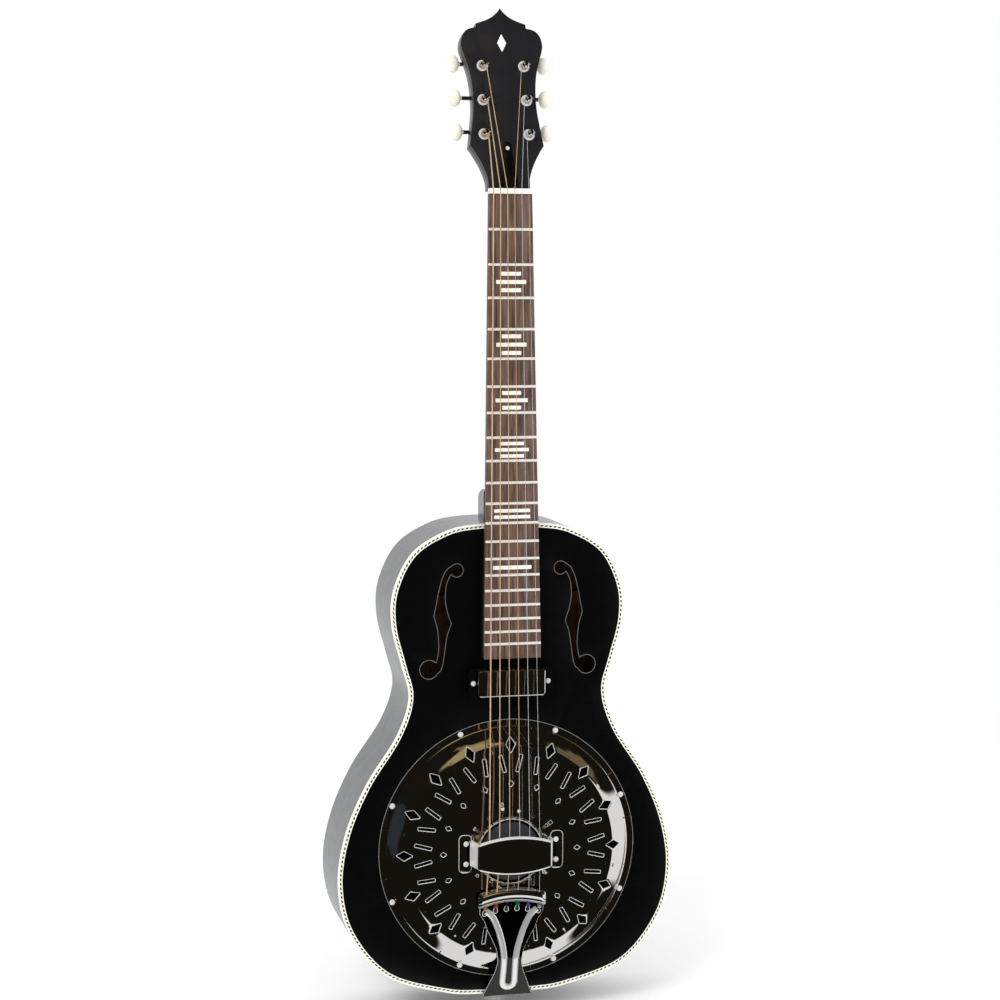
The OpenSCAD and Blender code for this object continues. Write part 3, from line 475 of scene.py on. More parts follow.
def smooth_tree():
    """Node group that shades a mesh smooth up to a sharp angle, with no new shape."""
    tree = bpy.data.node_groups.new("smooth_up_to_angle", "GeometryNodeTree")
    for way in ("INPUT", "OUTPUT"):
        tree.interface.new_socket("Geometry", in_out=way, socket_type="NodeSocketGeometry")
    start = add_node(tree, "NodeGroupInput").outputs[0]
    faces = add_node(tree, "GeometryNodeSetShadeSmooth", Geometry=start).outputs[0]
    angle = add_node(tree, "GeometryNodeInputMeshEdgeAngle").outputs["Unsigned Angle"]
    over = add_node(tree, "FunctionNodeCompare", operation="GREATER_THAN", A=angle, B=math.radians(32))
    edges = add_node(tree, "GeometryNodeSetShadeSmooth", domain="EDGE", Geometry=faces,
                     Selection=over.outputs[0], **{"Shade Smooth": False})
    tree.links.new(edges.outputs[0], add_node(tree, "NodeGroupOutput").inputs[0])
    return tree


SMOOTH = smooth_tree()


def dress(node, material, edge=0.0):
    """A CAD node that stays: its material, smooth shading and softened edges, all as modifiers."""
    obj = NODES[node]
    obj.data.materials.clear()
    obj.data.materials.append(MATERIALS[material])
    weld = obj.modifiers.new("weld", "WELD")
    weld.merge_threshold = 0.001 * MM
    if edge:
        bevel = obj.modifiers.new("edge", "BEVEL")
        bevel.width = edge * MM
        bevel.segments = 2
        bevel.limit_method = "ANGLE"
        bevel.angle_limit = math.radians(38)
        bevel.use_clamp_overlap = True
    smooth = obj.modifiers.new("smooth", "NODES")
    smooth.node_group = SMOOTH
    return obj


# ---- body ------------------------------------------------

OUTLINE_POINTS = 480
SIDE_THICK = 2.5
BACK_THICK = 3.5
BACK_EDGE_ROUND = 2.2


def body_outline():
    loop = front_loops("binding")[0]
    return [Vector((p.x, 0, p.z)) for p in spaced(loop, OUTLINE_POINTS)]


def back_depth(z):
    """Depth of the back's outer face at height z: it slopes evenly from neck to tail."""
    return BACK_AT_TOP[1] + (BACK_AT_TOP[0] - z) * BACK_SLOPE


def back_line():
    """Place (z, y) of the back's outer face at the neck end, and its slope."""
    verts = [v.co / MM for v in NODES["back"].data.vertices]
    top, low = max(v.z for v in verts), min(v.z for v in verts)
    deep_top = max(v.y for v in verts if v.z > top - 0.5)
    deep_low = max(v.y for v in verts if v.z < low + 0.5)
    return (top, deep_top), (deep_low - deep_top) / (top - low)


BACK_AT_TOP, BACK_SLOPE = back_line()
OUTLINE = body_outline()


def make_side(half):
    """One bent side, closed all round, from under the binding to the back."""
    name = "bass" if half < 0 else "treble"
    top = box_mm("binding")[1].y
    inner = inset(OUTLINE, SIDE_THICK)
    picked = [k for k in range(OUTLINE_POINTS) if OUTLINE[k].x * half > 0.02]
    start = next(k for k in picked if (k - 1) % OUTLINE_POINTS not in picked)
    order = [(start + j) % OUTLINE_POINTS for j in range(len(picked))]
    rings = []
    for k in order:
        out, into = OUTLINE[k], inner[k]
        low_out, low_in = back_depth(out.z) - BACK_THICK, back_depth(into.z) - BACK_THICK
        rings.append([Vector((out.x, top, out.z)), Vector((out.x, low_out, out.z)),
                      Vector((into.x, low_in, into.z)), Vector((into.x, top, into.z))])
    # The sides take the lighter copy of the black lacquer, which is painted light.
    piece = Solid().loft(rings).piece(f"side_{name}", "side_lacquer_painted_light")
    seat(piece, "root", [f"sides_{name}"])


def make_back():
    """The back, its outer edge rounded over; the inside shows bare brown wood."""
    rings = []
    for trim, rise in quarter_round(BACK_EDGE_ROUND):
        rings.append([Vector((p.x, back_depth(p.z) - rise, p.z)) for p in inset(OUTLINE, trim)])
    rings.append([Vector((p.x, back_depth(p.z) - BACK_THICK, p.z)) for p in OUTLINE])
    piece = Solid().loft(rings).piece("back_plate", "black_lacquer", second="inside_brown")
    for face in piece.data.polygons:
        if face.normal.y < -0.9:
            face.material_index = 1
    seat(piece, "root", ["back"])


ROPE_W, ROPE_DASH_W = 2.4, 1.4
ROPE_PITCH = 4.5
ROPE_STEPS = 20
ROPE_DARK = 0.58
ROPE_SLANT = 1.5
BOX_FACES = 6


def make_rope():
    """Slanted dark dashes in a cream strip, with a plain cream line on the inner side."""
    high = box_mm("purfling")[1]
    gap = box_mm("binding")[1].x - high.x
    outer, middle, inner = (inset(OUTLINE, gap + w) for w in (0, ROPE_DASH_W, ROPE_W))
    blocks = round(perimeter(outer) / ROPE_PITCH)
    fine = blocks * ROPE_STEPS
    lines = [spaced(loop, fine) for loop in (outer, middle, inner)]
    slant = round(ROPE_SLANT / ROPE_PITCH * ROPE_STEPS)
    dark = round(ROPE_STEPS * ROPE_DARK)
    spans = ((0, dark, 0, 1, 1), (dark, ROPE_STEPS, 0, 1, 0), (0, ROPE_STEPS, 1, 2, 0))
    solid, kinds = Solid(), []
    for block in range(blocks):
        for first, last, near, far, kind in spans:
            a, b = block * ROPE_STEPS + first, block * ROPE_STEPS + last
            shift = slant if far == 1 else 0
            lead = slant if near == 1 else 0
            corners = [lines[near][(a + lead) % fine], lines[near][(b + lead) % fine],
                       lines[far][(b + lead + shift) % fine], lines[far][(a + lead + shift) % fine]]
            centre = sum(corners, Vector()) / 4
            shrunk = [c.lerp(centre, 0.01) for c in corners]
            solid.loft([[Vector((c.x, y, c.z)) for c in shrunk] for y in (0.0, high.y)])
            kinds += [kind] * BOX_FACES
    piece = solid.piece("rope_purfling", "binding_cream", second="rope_black")
    for face, kind in zip(piece.data.polygons, kinds):
        face.material_index = kind
    seat(piece, "root", ["purfling"])


# ---- resonator cover -------------------------------------

COVER_LOW, COVER_HIGH = box_mm("coverplate")
COVER_X = (COVER_LOW.x + COVER_HIGH.x) / 2
COVER_Z = (COVER_LOW.z + COVER_HIGH.z) / 2
COVER_R = (COVER_HIGH.x - COVER_LOW.x) / 2
COVER_H = -COVER_LOW.y
COVER_HOLE = 33.0
CROWN_R, KNEE_R, CREASE_R = 50.0, 105.0, 123.8
KNEE_DROP = 3.0
FLANGE_H = 1.2
SHEET = 0.6
GROUPS = 16
RIM_STEPS = 256
HOLE_TURNED_IN, HOLE_DROP = 0.35, 0.9
CORNER_R = 0.5
LIP = ((0.6, 0.0), (0.4, 0.05), (0.2, 0.2), (0.05, 0.45), (0.0, 0.8))
KITE = [(0, 114.5), (-4.6, 107.5), (0, 99), (4.6, 107.5)]
SLOT = [(5, 81), (7.6, 80), (12, 96.3), (9.4, 97.3)]
DIAMOND = [(0, 71.7), (-2.1, 68.5), (0, 65.3), (2.1, 68.5)]


def cover_height(r):
    """Height of the cover's outer surface over the soundboard at radius r."""
    if r >= CREASE_R:
        return FLANGE_H
    if r <= KNEE_R:
        return COVER_H - KNEE_DROP * (max(r - CROWN_R, 0) / (KNEE_R - CROWN_R)) ** 2
    turn = (r - KNEE_R) / (CREASE_R - KNEE_R)
    knee = COVER_H - KNEE_DROP
    return FLANGE_H + (knee - FLANGE_H) * (1 - turn ** 1.45)


def area(points):
    return sum(points[k - 1][0] * points[k][1] - points[k][0] * points[k - 1][1]
               for k in range(len(points))) / 2


def rounded_polygon(corners, radius, grow, steps=4):
    """A convex polygon with rounded corners, grown outwards by grow, counterclockwise."""
    corners = corners if area(corners) > 0 else corners[::-1]
    made, n = [], len(corners)
    for k in range(n):
        a, b, c = (Vector(corners[j % n]) for j in (k - 1, k, k + 1))
        before, after = (b - a).normalized(), (c - b).normalized()
        out_a, out_b = Vector((before.y, -before.x)), Vector((after.y, -after.x))
        bisector = (out_a + out_b).normalized()
        centre = b - bisector * radius / max(bisector.dot(out_a), 0.3)
        turn = math.atan2(before.cross(after), before.dot(after))
        first = math.atan2(out_a.y, out_a.x)
        for step in range(steps + 1):
            angle = first + turn * step / steps
            made.append(centre + (radius + grow) * Vector((math.cos(angle), math.sin(angle))))
    return made


def inside(point, polygon):
    hit = False
    for k in range(len(polygon)):
        a, b = polygon[k - 1], polygon[k]
        if (a[1] > point[1]) != (b[1] > point[1]):
            if point[0] < (b[0] - a[0]) * (point[1] - a[1]) / (b[1] - a[1]) + a[0]:
                hit = not hit
    return hit


def sector_radii():
    """Radii of the mesh's rows, close together where the cover turns down."""
    made = [COVER_HOLE]
    while made[-1] < COVER_R - 0.01:
        step = 2.6 if made[-1] < KNEE_R - 1 else 0.9 if made[-1] < CREASE_R - 0.8 else 1.7
        made.append(min(made[-1] + step, COVER_R))
    return made


def cover_sector():
    """Points and faces of one sixteenth of the cover, its holes edged with a pressed lip."""
    half = math.pi / GROUPS
    shapes = [KITE, DIAMOND, SLOT, [(-x, y) for x, y in SLOT]]
    rims = [rounded_polygon(s, CORNER_R, LIP[0][0]) for s in shapes]
    flat, edges = [], []
    for rim in rims:
        first = len(flat)
        flat += [Vector(p) for p in rim]
        edges += [(first + j, first + (j + 1) % len(rim)) for j in range(len(rim))]
    keep_off = [rounded_polygon(s, CORNER_R, LIP[0][0] + 0.5) for s in shapes]
    for r in sector_radii():
        steps = max(4, round(2 * half * r / 2.4 / 2) * 2)
        for j in range(steps + 1):
            angle = -half + 2 * half * j / steps
            spot = Vector((r * math.sin(angle), r * math.cos(angle)))
            if j in (0, steps) or not any(inside(spot, k) for k in keep_off):
                flat.append(spot)
    verts, _, faces, *_ = delaunay_2d_cdt(flat, edges, [], 0, 1e-4)
    points = [(v.x, v.y, cover_height(v.length)) for v in verts]
    kept = []
    for face in faces:
        middle = sum((verts[k] for k in face), Vector((0, 0))) / len(face)
        far = middle.length
        beyond = far < COVER_HOLE * math.cos(half / 4) or abs(math.atan2(middle.x, middle.y)) > half
        if not beyond and not any(inside(middle, rim) for rim in rims):
            kept.append(tuple(face))
    flat_count = len(kept)
    for shape in shapes:
        rings = []
        for grow, drop in LIP:
            ring = rounded_polygon(shape, CORNER_R, grow)
            rings.append([(p[0], p[1], cover_height(Vector(p).length) - drop) for p in ring])
        start, n = len(points), len(rings[0])
        for ring in rings:
            points += ring
        for k in range(len(rings) - 1):
            a, b = start + k * n, start + (k + 1) * n
            kept += [(a + j, a + (j + 1) % n, b + (j + 1) % n, b + j) for j in range(n)]
    return points, kept, [0] * flat_count + [1] * (len(kept) - flat_count)


def make_cover():
    points, faces, sector_kinds = cover_sector()
    all_points, all_faces, kinds = [], [], sector_kinds * GROUPS
    for cos, sin in circle(GROUPS):
        base = len(all_points)
        all_points += [(COVER_X + x * cos - y * sin, -h, COVER_Z + x * sin + y * cos) for x, y, h in points]
        all_faces += [tuple(base + j for j in face) for face in faces]
    for rim, turned_in, drop in ((COVER_HOLE, HOLE_TURNED_IN, HOLE_DROP), (COVER_R, 0.0, FLANGE_H - SHEET)):
        base, height = len(all_points), cover_height(rim)
        for r, h in ((rim, height), (rim - turned_in, height - drop)):
            all_points += [(COVER_X + r * c, -h, COVER_Z + r * s) for c, s in circle(RIM_STEPS)]
        all_faces += [(base + j, base + m, base + RIM_STEPS + m, base + RIM_STEPS + j)
                      for j, m in ((j, (j + 1) % RIM_STEPS) for j in range(RIM_STEPS))]
        kinds += [1] * RIM_STEPS
    # Kind 1, the holes' pressed lips and the two turned rims, takes the bright copy of chrome: a painted
    # highlight on the one chrome sheet.
    piece = mesh_piece("cover_shell", all_points, all_faces, "cover_chrome", 55, "painted_highlight_chrome", kinds)
    sheet = piece.modifiers.new("sheet", "SOLIDIFY")
    sheet.thickness = SHEET * MM
    sheet.offset = -1
    seat(piece, "root", ["coverplate"])


def make_cover_edge():
    """Thin bright line where the cover's flange is turned over: a painted highlight."""
    radius = COVER_R - 0.4
    loop = [Vector((COVER_X + radius * c, -FLANGE_H + 0.1, COVER_Z + radius * s))
            for c, s in circle(RIM_STEPS)]
    piece = Solid().loft(hoop(loop, 0.35), closed=True).piece("cover_edge", "painted_highlight_grey", 60)
    seat(piece, "root", ["coverplate"])


def make_hole_edges():
    """Thin grey line round each sound hole, a painted highlight on the holes' edges, told from the other
    openings by its length.
    """
    shortest, longest = 180, 500
    solid = Solid()
    for loop in front_loops("soundboard"):
        if shortest < perimeter(loop) < longest:
            points = [Vector((q.x, 0.05, q.z)) for q in spaced(loop, 200)]
            solid.loft(hoop(points, 0.28), closed=True)
    seat(solid.piece("sound_hole_edges", "painted_highlight_grey", 60), "root")


# ---- palm rest -------------------------------------------

def make_palm_rest():
    """Bent plate over the saddle: two feet, two walls and a top with a rolled edge."""
    low, high = box_mm("palm_rest")
    centre_z = (low.z + high.z) / 2
    foot_x, top_h, foot_h = high.x, -low.y, -high.y + 1.5
    top_x, wall_x, toe_x = 37.5, 41.8, 45.0
    end_z, bulge = 13.4, 5.9
    sheet, tuck, overlap, foot_corner = 1.0, 0.9, 1.6, 5
    rolled_edge = [(0, 3.4), (0.1, 2.9), (0.35, 2.3), (0.85, 1.4), (1.45, 0.45), (1.9, 0.15), (2.5, 0)]
    corners = [Vector(p) for p in ((-toe_x, foot_h), (-wall_x, foot_h), (-top_x, top_h),
                                   (top_x, top_h), (wall_x, foot_h), (toe_x, foot_h))]
    path = [corners[0]]
    for k, bend in ((1, 1.4), (2, 2.4), (3, 2.4), (4, 1.4)):
        back, here, ahead = corners[k - 1:k + 2]
        path += bent(here, (back - here).normalized() * bend, (ahead - here).normalized() * bend, 6)
        if k == 2:
            path += [Vector((x, top_h)) for x in range(-34, 35, 2)]
    path.append(corners[5])
    rings = []
    for k, spot in enumerate(path):
        along = heading(path, k)
        half = end_z + bulge * max(0, 1 - (spot.x / top_x) ** 2)
        arc = [(trim - half, -drop) for trim, drop in rolled_edge]
        ring = arc + [(-z, rise) for z, rise in reversed(arc)]
        rings.append([Vector((spot.x - along.y * d, -(spot.y + along.x * d), centre_z + z)) for z, d in
                      ring + [(z * (1 - tuck / half), rise - sheet) for z, rise in reversed(ring)]])
    solid = Solid().loft(rings)
    foot_half = (foot_x - (wall_x - overlap)) / 2
    for side in (-1, 1):
        middle = side * (foot_x - foot_half)
        foot = []
        for inset_by, h in ((0, -high.y), (0, foot_h - 0.5), (0.15, foot_h - 0.15), (0.5, foot_h)):
            loop = rounded_rectangle(foot_half - inset_by, (high.z - low.z) / 2 - inset_by,
                                     foot_corner - inset_by)
            foot.append([Vector((middle + x, -h, centre_z + z)) for x, z in loop])
        solid.loft(foot)
    piece = solid.piece("palm_rest_plate", "cover_chrome", 50, "painted_highlight_chrome")
    # The rolled rim, the two walls and the feet's edges get the bright copy of chrome, a painted highlight
    # where they catch the light; the top and the feet mirror.
    for face in piece.data.polygons:
        tilt, middle = face.normal, face.center / MM
        rim = abs(tilt.z) > 0.3 and tilt.y < -0.1 and -middle.y > foot_h
        wall = abs(tilt.x) > 0.6 and foot_h < -middle.y < top_h - 2
        foot_edge = -middle.y < foot_h - 0.05 and tilt.y < -0.1
        face.material_index = int(rim or wall or foot_edge)
    seat(piece, "root", ["palm_rest"])


# ---- pickup ----------------------------------------------

def make_pickup_cover():
    low, high = box_mm("pickup_cover")
    centre = (low + high) / 2
    half_x, half_z = (high.x - low.x) / 2, (high.z - low.z) / 2
    edge, corner = 1.7, 3.4
    levels = [(0, high.y)] + [(trim, low.y + rise) for rise, trim in quarter_round(edge)]
    shell = []
    for trim, y in levels:
        loop = rounded_rectangle(half_x - trim, half_z - trim, corner - trim)
        shell.append([Vector((centre.x + x, y, centre.z + z)) for x, z in loop])
    seat(Solid().loft(shell).piece("pickup_shell", "cover_chrome", 50), "root", ["pickup_cover"])


# ---- tailpiece -------------------------------------------

TAIL_LOW, TAIL_HIGH = box_mm("tailpiece")
BAR_TOP_R, BAR_LOW_R = 102.0, 101.0
BAR_DROP = 13.0
BAR_X, BAR_FOOT_H, BAR_END_ROUND = 34.5, 19.4, 2.2
BAR_STEPS = 56
PLATE_TOP_H, PLATE_END_H = 20.1, 3.5
PLATE_TOP_Z = TAIL_HIGH.z - 18
FOLD = ((8, 20.15), (0, PLATE_TOP_H), (-30, 17.6), (-57, 14.2), (-78, 9.2), (-98, 3.2))
STRING_SPREAD = 55.0
KEYHOLE_DROP = 8.4


def plate_height(z):
    """Height of the bent plate's outer face over the soundboard."""
    at = min(max(z - PLATE_TOP_Z, FOLD[-1][0]), FOLD[0][0])
    for (z0, h0), (z1, h1) in zip(FOLD, FOLD[1:]):
        if at >= z1:
            return h1 + (h0 - h1) * (at - z1) / (z0 - z1)
    return FOLD[-1][1]


def bar_low(x):
    """Lower edge of the crossbar at x."""
    return TAIL_HIGH.z - BAR_TOP_R - BAR_DROP + math.sqrt(BAR_LOW_R ** 2 - x * x)


def catmull(points, steps):
    """Smooth open curve through the points."""
    made = []
    for k in range(len(points) - 1):
        a, b, c, d = (Vector(points[min(max(j, 0), len(points) - 1)]) for j in (k - 1, k, k + 1, k + 2))
        for step in range(steps):
            t = step / steps
            made.append(0.5 * (2 * b + (c - a) * t + (2 * a - 5 * b + 4 * c - d) * t * t
                               + (3 * b - a - 3 * c + d) * t ** 3))
    return made + [Vector(points[-1])]


def make_tail_bar():
    """Arched crossbar with a domed top, a step and a rolled lower lip."""
    profile = [(0.0, BAR_FOOT_H), (0.0, 21.6), (0.05, 23.3), (0.12, 24.6), (0.24, 25.6), (0.4, 26.0),
               (0.56, 25.7), (0.68, 24.8), (0.74, 24.0), (0.77, 24.6), (0.82, 25.0), (0.87, 24.6),
               (0.9, 24.0), (0.93, 24.3), (0.97, 23.9), (1.0, 23.0), (1.0, BAR_FOOT_H)]
    rings = []
    for step in range(BAR_STEPS + 1):
        turn = -1 + 2 * step / BAR_STEPS
        x = BAR_X * math.sin(turn * math.pi / 2) if abs(turn) > 0.9 else BAR_X * turn
        high, low = TAIL_HIGH.z - BAR_TOP_R + math.sqrt(BAR_TOP_R ** 2 - x * x), bar_low(x)
        close = min(1.0, (BAR_X - abs(x)) / BAR_END_ROUND)
        round_off = math.sqrt(1 - (1 - close) ** 2)
        ring = []
        for share, height in profile:
            height = BAR_FOOT_H + (height - BAR_FOOT_H) * (0.3 + 0.7 * round_off)
            share = 0.5 + (share - 0.5) * (0.82 + 0.18 * round_off)
            ring.append(Vector((x, -height, high + (low - high) * share)))
        rings.append(ring)
    seat(Solid().loft(rings).piece("tail_crossbar", "chrome", 50), "root", ["tailpiece"])


def make_tail_plate():
    """Bent sheet from the crossbar to the tail, and the strap that turns down over the end."""
    side = [Vector(p) for p in ((32.5, 6), (32.5, 0), (32.5, -8), (30.5, -12))]
    side += catmull([(27.5, -16), (24.5, -25), (20, -34), (14.4, -47), (12.5, -58), (12.9, -64), (15, -72),
                     (19.5, -83), (25, -97)], 5)
    bevel, sheet = 0.35, 1.4
    rings = []
    for spot in side:
        z, half = PLATE_TOP_Z + spot.y, spot.x
        h = plate_height(z)
        section = [(-half, h - bevel), (bevel - half, h), (half - bevel, h), (half, h - bevel),
                   (half, h - sheet), (-half, h - sheet)]
        rings.append([Vector((x, -height, z)) for x, height in section])
    solid = Solid().loft(rings)
    strap_z, strap_bend, strap_sheet = PLATE_TOP_Z - 94, 2.2, 1.2
    line = [(strap_z, plate_height(strap_z))]
    line += [(TAIL_LOW.z + rise, PLATE_END_H - drop) for rise, drop in quarter_round(strap_bend)]
    line.append((TAIL_LOW.z, -TAIL_HIGH.y))
    strap = []
    for z, h in line:
        half = 25.0 if h < PLATE_END_H else 24.4
        corners = ((-half, 0, 0), (half, 0, 0), (half, strap_sheet, sheet), (-half, strap_sheet, sheet))
        strap.append([Vector((x, -(h - sink), z + up)) for x, sink, up in corners])
    solid.loft(strap)
    piece = solid.piece("tail_plate", "plate_dark", 30, "painted_highlight_chrome")
    # Faces that lean sideways and face out of the top, the bevelled edges, get the bright copy of chrome: a
    # painted highlight.
    for face in piece.data.polygons:
        if abs(face.normal.x) > 0.3 and face.normal.y < -0.2:
            face.material_index = 1
    seat(piece, "root", ["tailpiece"])


def teardrop(x, z, radius, length):
    """Outline of a keyhole: round below, narrowing to a neck above."""
    made = [(x + radius * math.cos(a), z + radius * math.sin(a))
            for a in (math.radians(150 + 240 * k / 16) for k in range(17))]
    return made + [(x + radius * 0.42, z + length), (x - radius * 0.42, z + length)]


def make_keyholes():
    """Keyholes under the string ends: a black teardrop in each, painted shade for the open hole, and round
    it a pressed edge whose brightness is a painted highlight.
    """
    rims, holes = Solid(), Solid()
    for number in range(STRING_COUNT):
        x = STRING_SPREAD * (number / (STRING_COUNT - 1) - 0.5)
        z = bar_low(x) - KEYHOLE_DROP
        for solid, radius, length, rise in ((rims, 2.5, 5.0, 0.12), (holes, 1.95, 4.6, 0.2)):
            loop = teardrop(x, z, radius, length)
            solid.loft([[Vector((px, -(plate_height(pz) + up), pz)) for px, pz in loop]
                        for up in (-0.3, rise)])
    # The brighter steel teardrops are a painted highlight on the real pressed lips; the black ones are
    # painted shade for the openings.
    seat(rims.piece("keyhole_rims_painted_highlight", "screw_steel"), "root", ["tailpiece"])
    seat(holes.piece("keyhole_painted_shade", "rope_black"), "root", ["tailpiece"])


def make_tail_ribs():
    """Raised ribbon in a long U: from under each end of the crossbar, inwards, down and round the foot."""
    half, tall, sunk = 3.3, 1.7, 0.4
    foot_r, foot_y = 6.2, -82.5
    arm = catmull([(26.0, -5.5), (22.0, -8.5), (18.5, -13.0), (15.6, -19.0), (12.4, -27), (9.8, -36),
                   (7.4, -46), (6.0, -57), (5.9, -69), (6.2, -82)], 7)
    foot = [Vector((foot_r * math.cos(a), foot_y - foot_r * math.sin(a)))
            for a in (math.pi * k / 16 for k in range(1, 16))]
    line = arm + foot + [Vector((-p.x, p.y)) for p in reversed(arm)]
    rings = []
    for k, spot in enumerate(line):
        along = heading(line, k)
        across = Vector((-along.y, along.x))
        ring = []
        for step in range(13):
            angle = math.pi * step / 12
            off = spot + across * half * math.cos(angle)
            z = PLATE_TOP_Z + off.y
            ring.append(Vector((off.x, -(plate_height(z) - sunk + tall * math.sin(angle) ** 0.5), z)))
        rings.append(ring)
    seat(Solid().loft(rings).piece("tail_ribs", "rib_nickel", 60), "root", ["tailpiece"])


# ---- strings ---------------------------------------------

WIRE_SIDES = 18
RING_GAP = 8
GEAR_DEPTH, HOLE_RISE = 19.8, 8.7
HEAD_ANGLE = math.radians(14)
HEAD_OUT = Vector((0, -math.cos(HEAD_ANGLE), math.sin(HEAD_ANGLE)))
HEAD_UP = Vector((0, math.sin(HEAD_ANGLE), math.cos(HEAD_ANGLE)))
BALL_COLORS = [(0.75, 0.55, 0.25), (0.75, 0.12, 0.06), (0.02, 0.02, 0.02), (0.04, 0.35, 0.2),
               (0.22, 0.1, 0.5), (0.72, 0.71, 0.7)]


def string_route(number):
    """Centres of the wire's rings in the CAD node, from the post to the tailpiece, and its radius."""
    bm = bmesh.new()
    bm.from_mesh(NODES[f"string_{number}"].data)
    bmesh.ops.remove_doubles(bm, verts=bm.verts, dist=0.001 * MM)
    places = sorted((v.co / MM for v in bm.verts), key=lambda p: -p.z)
    bm.free()
    groups = [[places[0]]]
    for a, b in zip(places, places[1:]):
        if a.z - b.z > RING_GAP:
            groups.append([])
        groups[-1].append(b)
    wire = [g[:WIRE_SIDES] for g in groups]
    centres = [sum(g, Vector()) / len(g) for g in wire]
    return centres, (wire[0][0] - centres[0]).length


def rounded_route(points, bend=2.5, steps=5):
    made = [points[0]]
    for a, b, c in zip(points, points[1:], points[2:]):
        made += bent(b, (a - b).normalized() * bend, (c - b).normalized() * bend, steps)
    return made + [points[-1]]


def make_string(number):
    material = "bronze_string" if number <= 4 else "plain_string"
    centres, radius = string_route(number)
    wire = Solid().loft(sweep(rounded_route(centres), radius, 14)).piece(f"wire_{number}", material)
    seat(wire, "root", [f"string_{number}"])
    make_ball(number, centres[-1], (centres[-1] - centres[-2]).normalized())
    make_winding(number, centres[0], radius, material)


def make_ball(number, end, along):
    """Grooved ring at the string's end, coloured to tell the strings apart."""
    paint = Finish(f"ball_{number}", BALL_COLORS[number - 1], 0.3, 0.85)
    paint.rough(paint.spread(paint.noise(500, 2), 0.24, 0.4))
    MATERIALS[paint.material.name] = paint.material
    centre = end + along * 2.02
    profile = [(-1.7, 0.7), (-1.7, 1.7), (-1.4, 2.0), (-0.7, 2.0), (-0.35, 1.6), (0.35, 1.6), (0.7, 2.0),
               (1.4, 2.0), (1.7, 1.7), (1.7, 0.7)]
    rings = [[centre + Vector((x, r * c, r * s)) for c, s in circle(28)] for x, r in profile]
    piece = Solid().loft(rings, closed=True).piece(f"ball_end_{number}", paint.material.name, 30)
    seat(piece, "root", [f"string_{number}"])


def make_winding(number, start, radius, material):
    """Turns of the string round its post and its end in the post's hole, which turn with the post."""
    joint = next(j for j in frame["joints"] if j["name"] == f"post_{number}_turn")
    pivot = Vector(joint["pos_m"]) / MM
    axis = HEAD_OUT
    rise = (start - pivot).dot(axis)
    arm = start - pivot - axis * rise
    reach = arm.length
    other = axis.cross(arm.normalized())
    way = 1 if arm.x > 0 else -1
    room = 2.4
    turns = max(1.5, min(5.0, room / (2.1 * radius)))
    path = []
    steps = int(turns * 28)
    for k in range(steps + 1):
        angle = 2 * math.pi * turns * k / steps * way
        spot = arm.normalized() * math.cos(angle) + other * math.sin(angle)
        path.append(pivot + axis * (rise + room * k / steps) + spot * reach)
    solid = Solid().loft(sweep(path, radius, 10))
    hole = pivot + axis * (HOLE_RISE + GEAR_DEPTH)
    stub = [hole + Vector((x, 0, 0)) for x in (-5.0, 0.0, 5.0)]
    solid.loft(sweep(stub, min(radius, 0.6), 10))
    seat(solid.piece(f"winding_{number}", material), f"post_{number}")


# ---- tuner buttons ---------------------------------------

def make_button(number):
    """Oval ivory button, pillowed on its faces, with a small collar on the shaft's side."""
    low, high = box_mm(f"tuner_button_{number}")
    centre, size = (low + high) / 2, (high - low) / 2
    inward = 1 if centre.x < 0 else -1

    def bulge(value, power):
        return math.copysign(abs(value) ** power, value)

    rings = []
    for k in range(1, 24):
        lat = math.pi * k / 24 - math.pi / 2
        flat = bulge(math.cos(lat), 0.72)
        rings.append([centre + Vector((size.x * flat * bulge(c, 0.94),
                                       size.y * bulge(math.sin(lat), 0.8) * 0.94,
                                       size.z * 0.97 * flat * bulge(s, 0.94))) for c, s in circle(40)])
    solid = Solid().loft(rings)
    solid.loft([[centre + Vector((inward * (size.x + out), r * c, r * s)) for c, s in circle(24)]
                for out, r in ((-1.5, 2.7), (0.6, 2.6), (0.9, 2.3))])
    seat(solid.piece(f"button_{number}", "button_ivory", 60), f"tuner_key_{number}",
         [f"tuner_button_{number}"])


# ---- headstock inlay -------------------------------------

def make_head_inlay():
    """Small plain diamond near the top of the headstock."""
    face_y, up_face = 7, 150
    base = Vector((0, face_y, 0)) + HEAD_UP * up_face
    shape = [(0, 9), (4.6, 0), (0, -9), (-4.6, 0)]
    rings = []
    for rise, shrink in ((0.0, 1.0), (0.18, 1.0), (0.25, 0.97)):
        rings.append([base + Vector((x * shrink, 0, 0)) + HEAD_UP * y * shrink + HEAD_OUT * rise
                      for x, y in shape])
    seat(Solid().loft(rings).piece("head_diamond", "pearl"), "root")


# ---- stage and light -------------------------------------

def make_floor():
    """Wide pale floor just under the guitar, which fades into the white backdrop."""
    size, z = 30, CAD_BOX[0].z - 0.006
    corners = [(-size, -size, z), (size, -size, z), (size, size, z), (-size, size, z)]
    mesh = bpy.data.meshes.new("floor")
    mesh.from_pydata(corners, [], [(0, 1, 2, 3)])
    paint = Finish("floor_pale", (0.95, 0.95, 0.95), 0.9)
    paint.rough(paint.spread(paint.noise(3, 2), 0.85, 0.95))
    reach = paint.node("ShaderNodeVectorMath", operation="LENGTH")
    paint.link(paint.place(), reach.inputs[0])
    glow = paint.node("ShaderNodeEmission", Color=(1, 1, 1, 1), Strength=1.0)
    mixed = paint.node("ShaderNodeMixShader", Fac=paint.spread(reach.outputs["Value"], 0.0, 1.0, 0.95, 1.9))
    paint.link(paint.shader.outputs[0], mixed.inputs[1])
    paint.link(glow.outputs[0], mixed.inputs[2])
    paint.link(mixed.outputs[0], paint.tree.nodes["Material Output"].inputs["Surface"])
    mesh.materials.append(paint.material)
    floor = add_object("floor", mesh)
    floor.visible_glossy = False


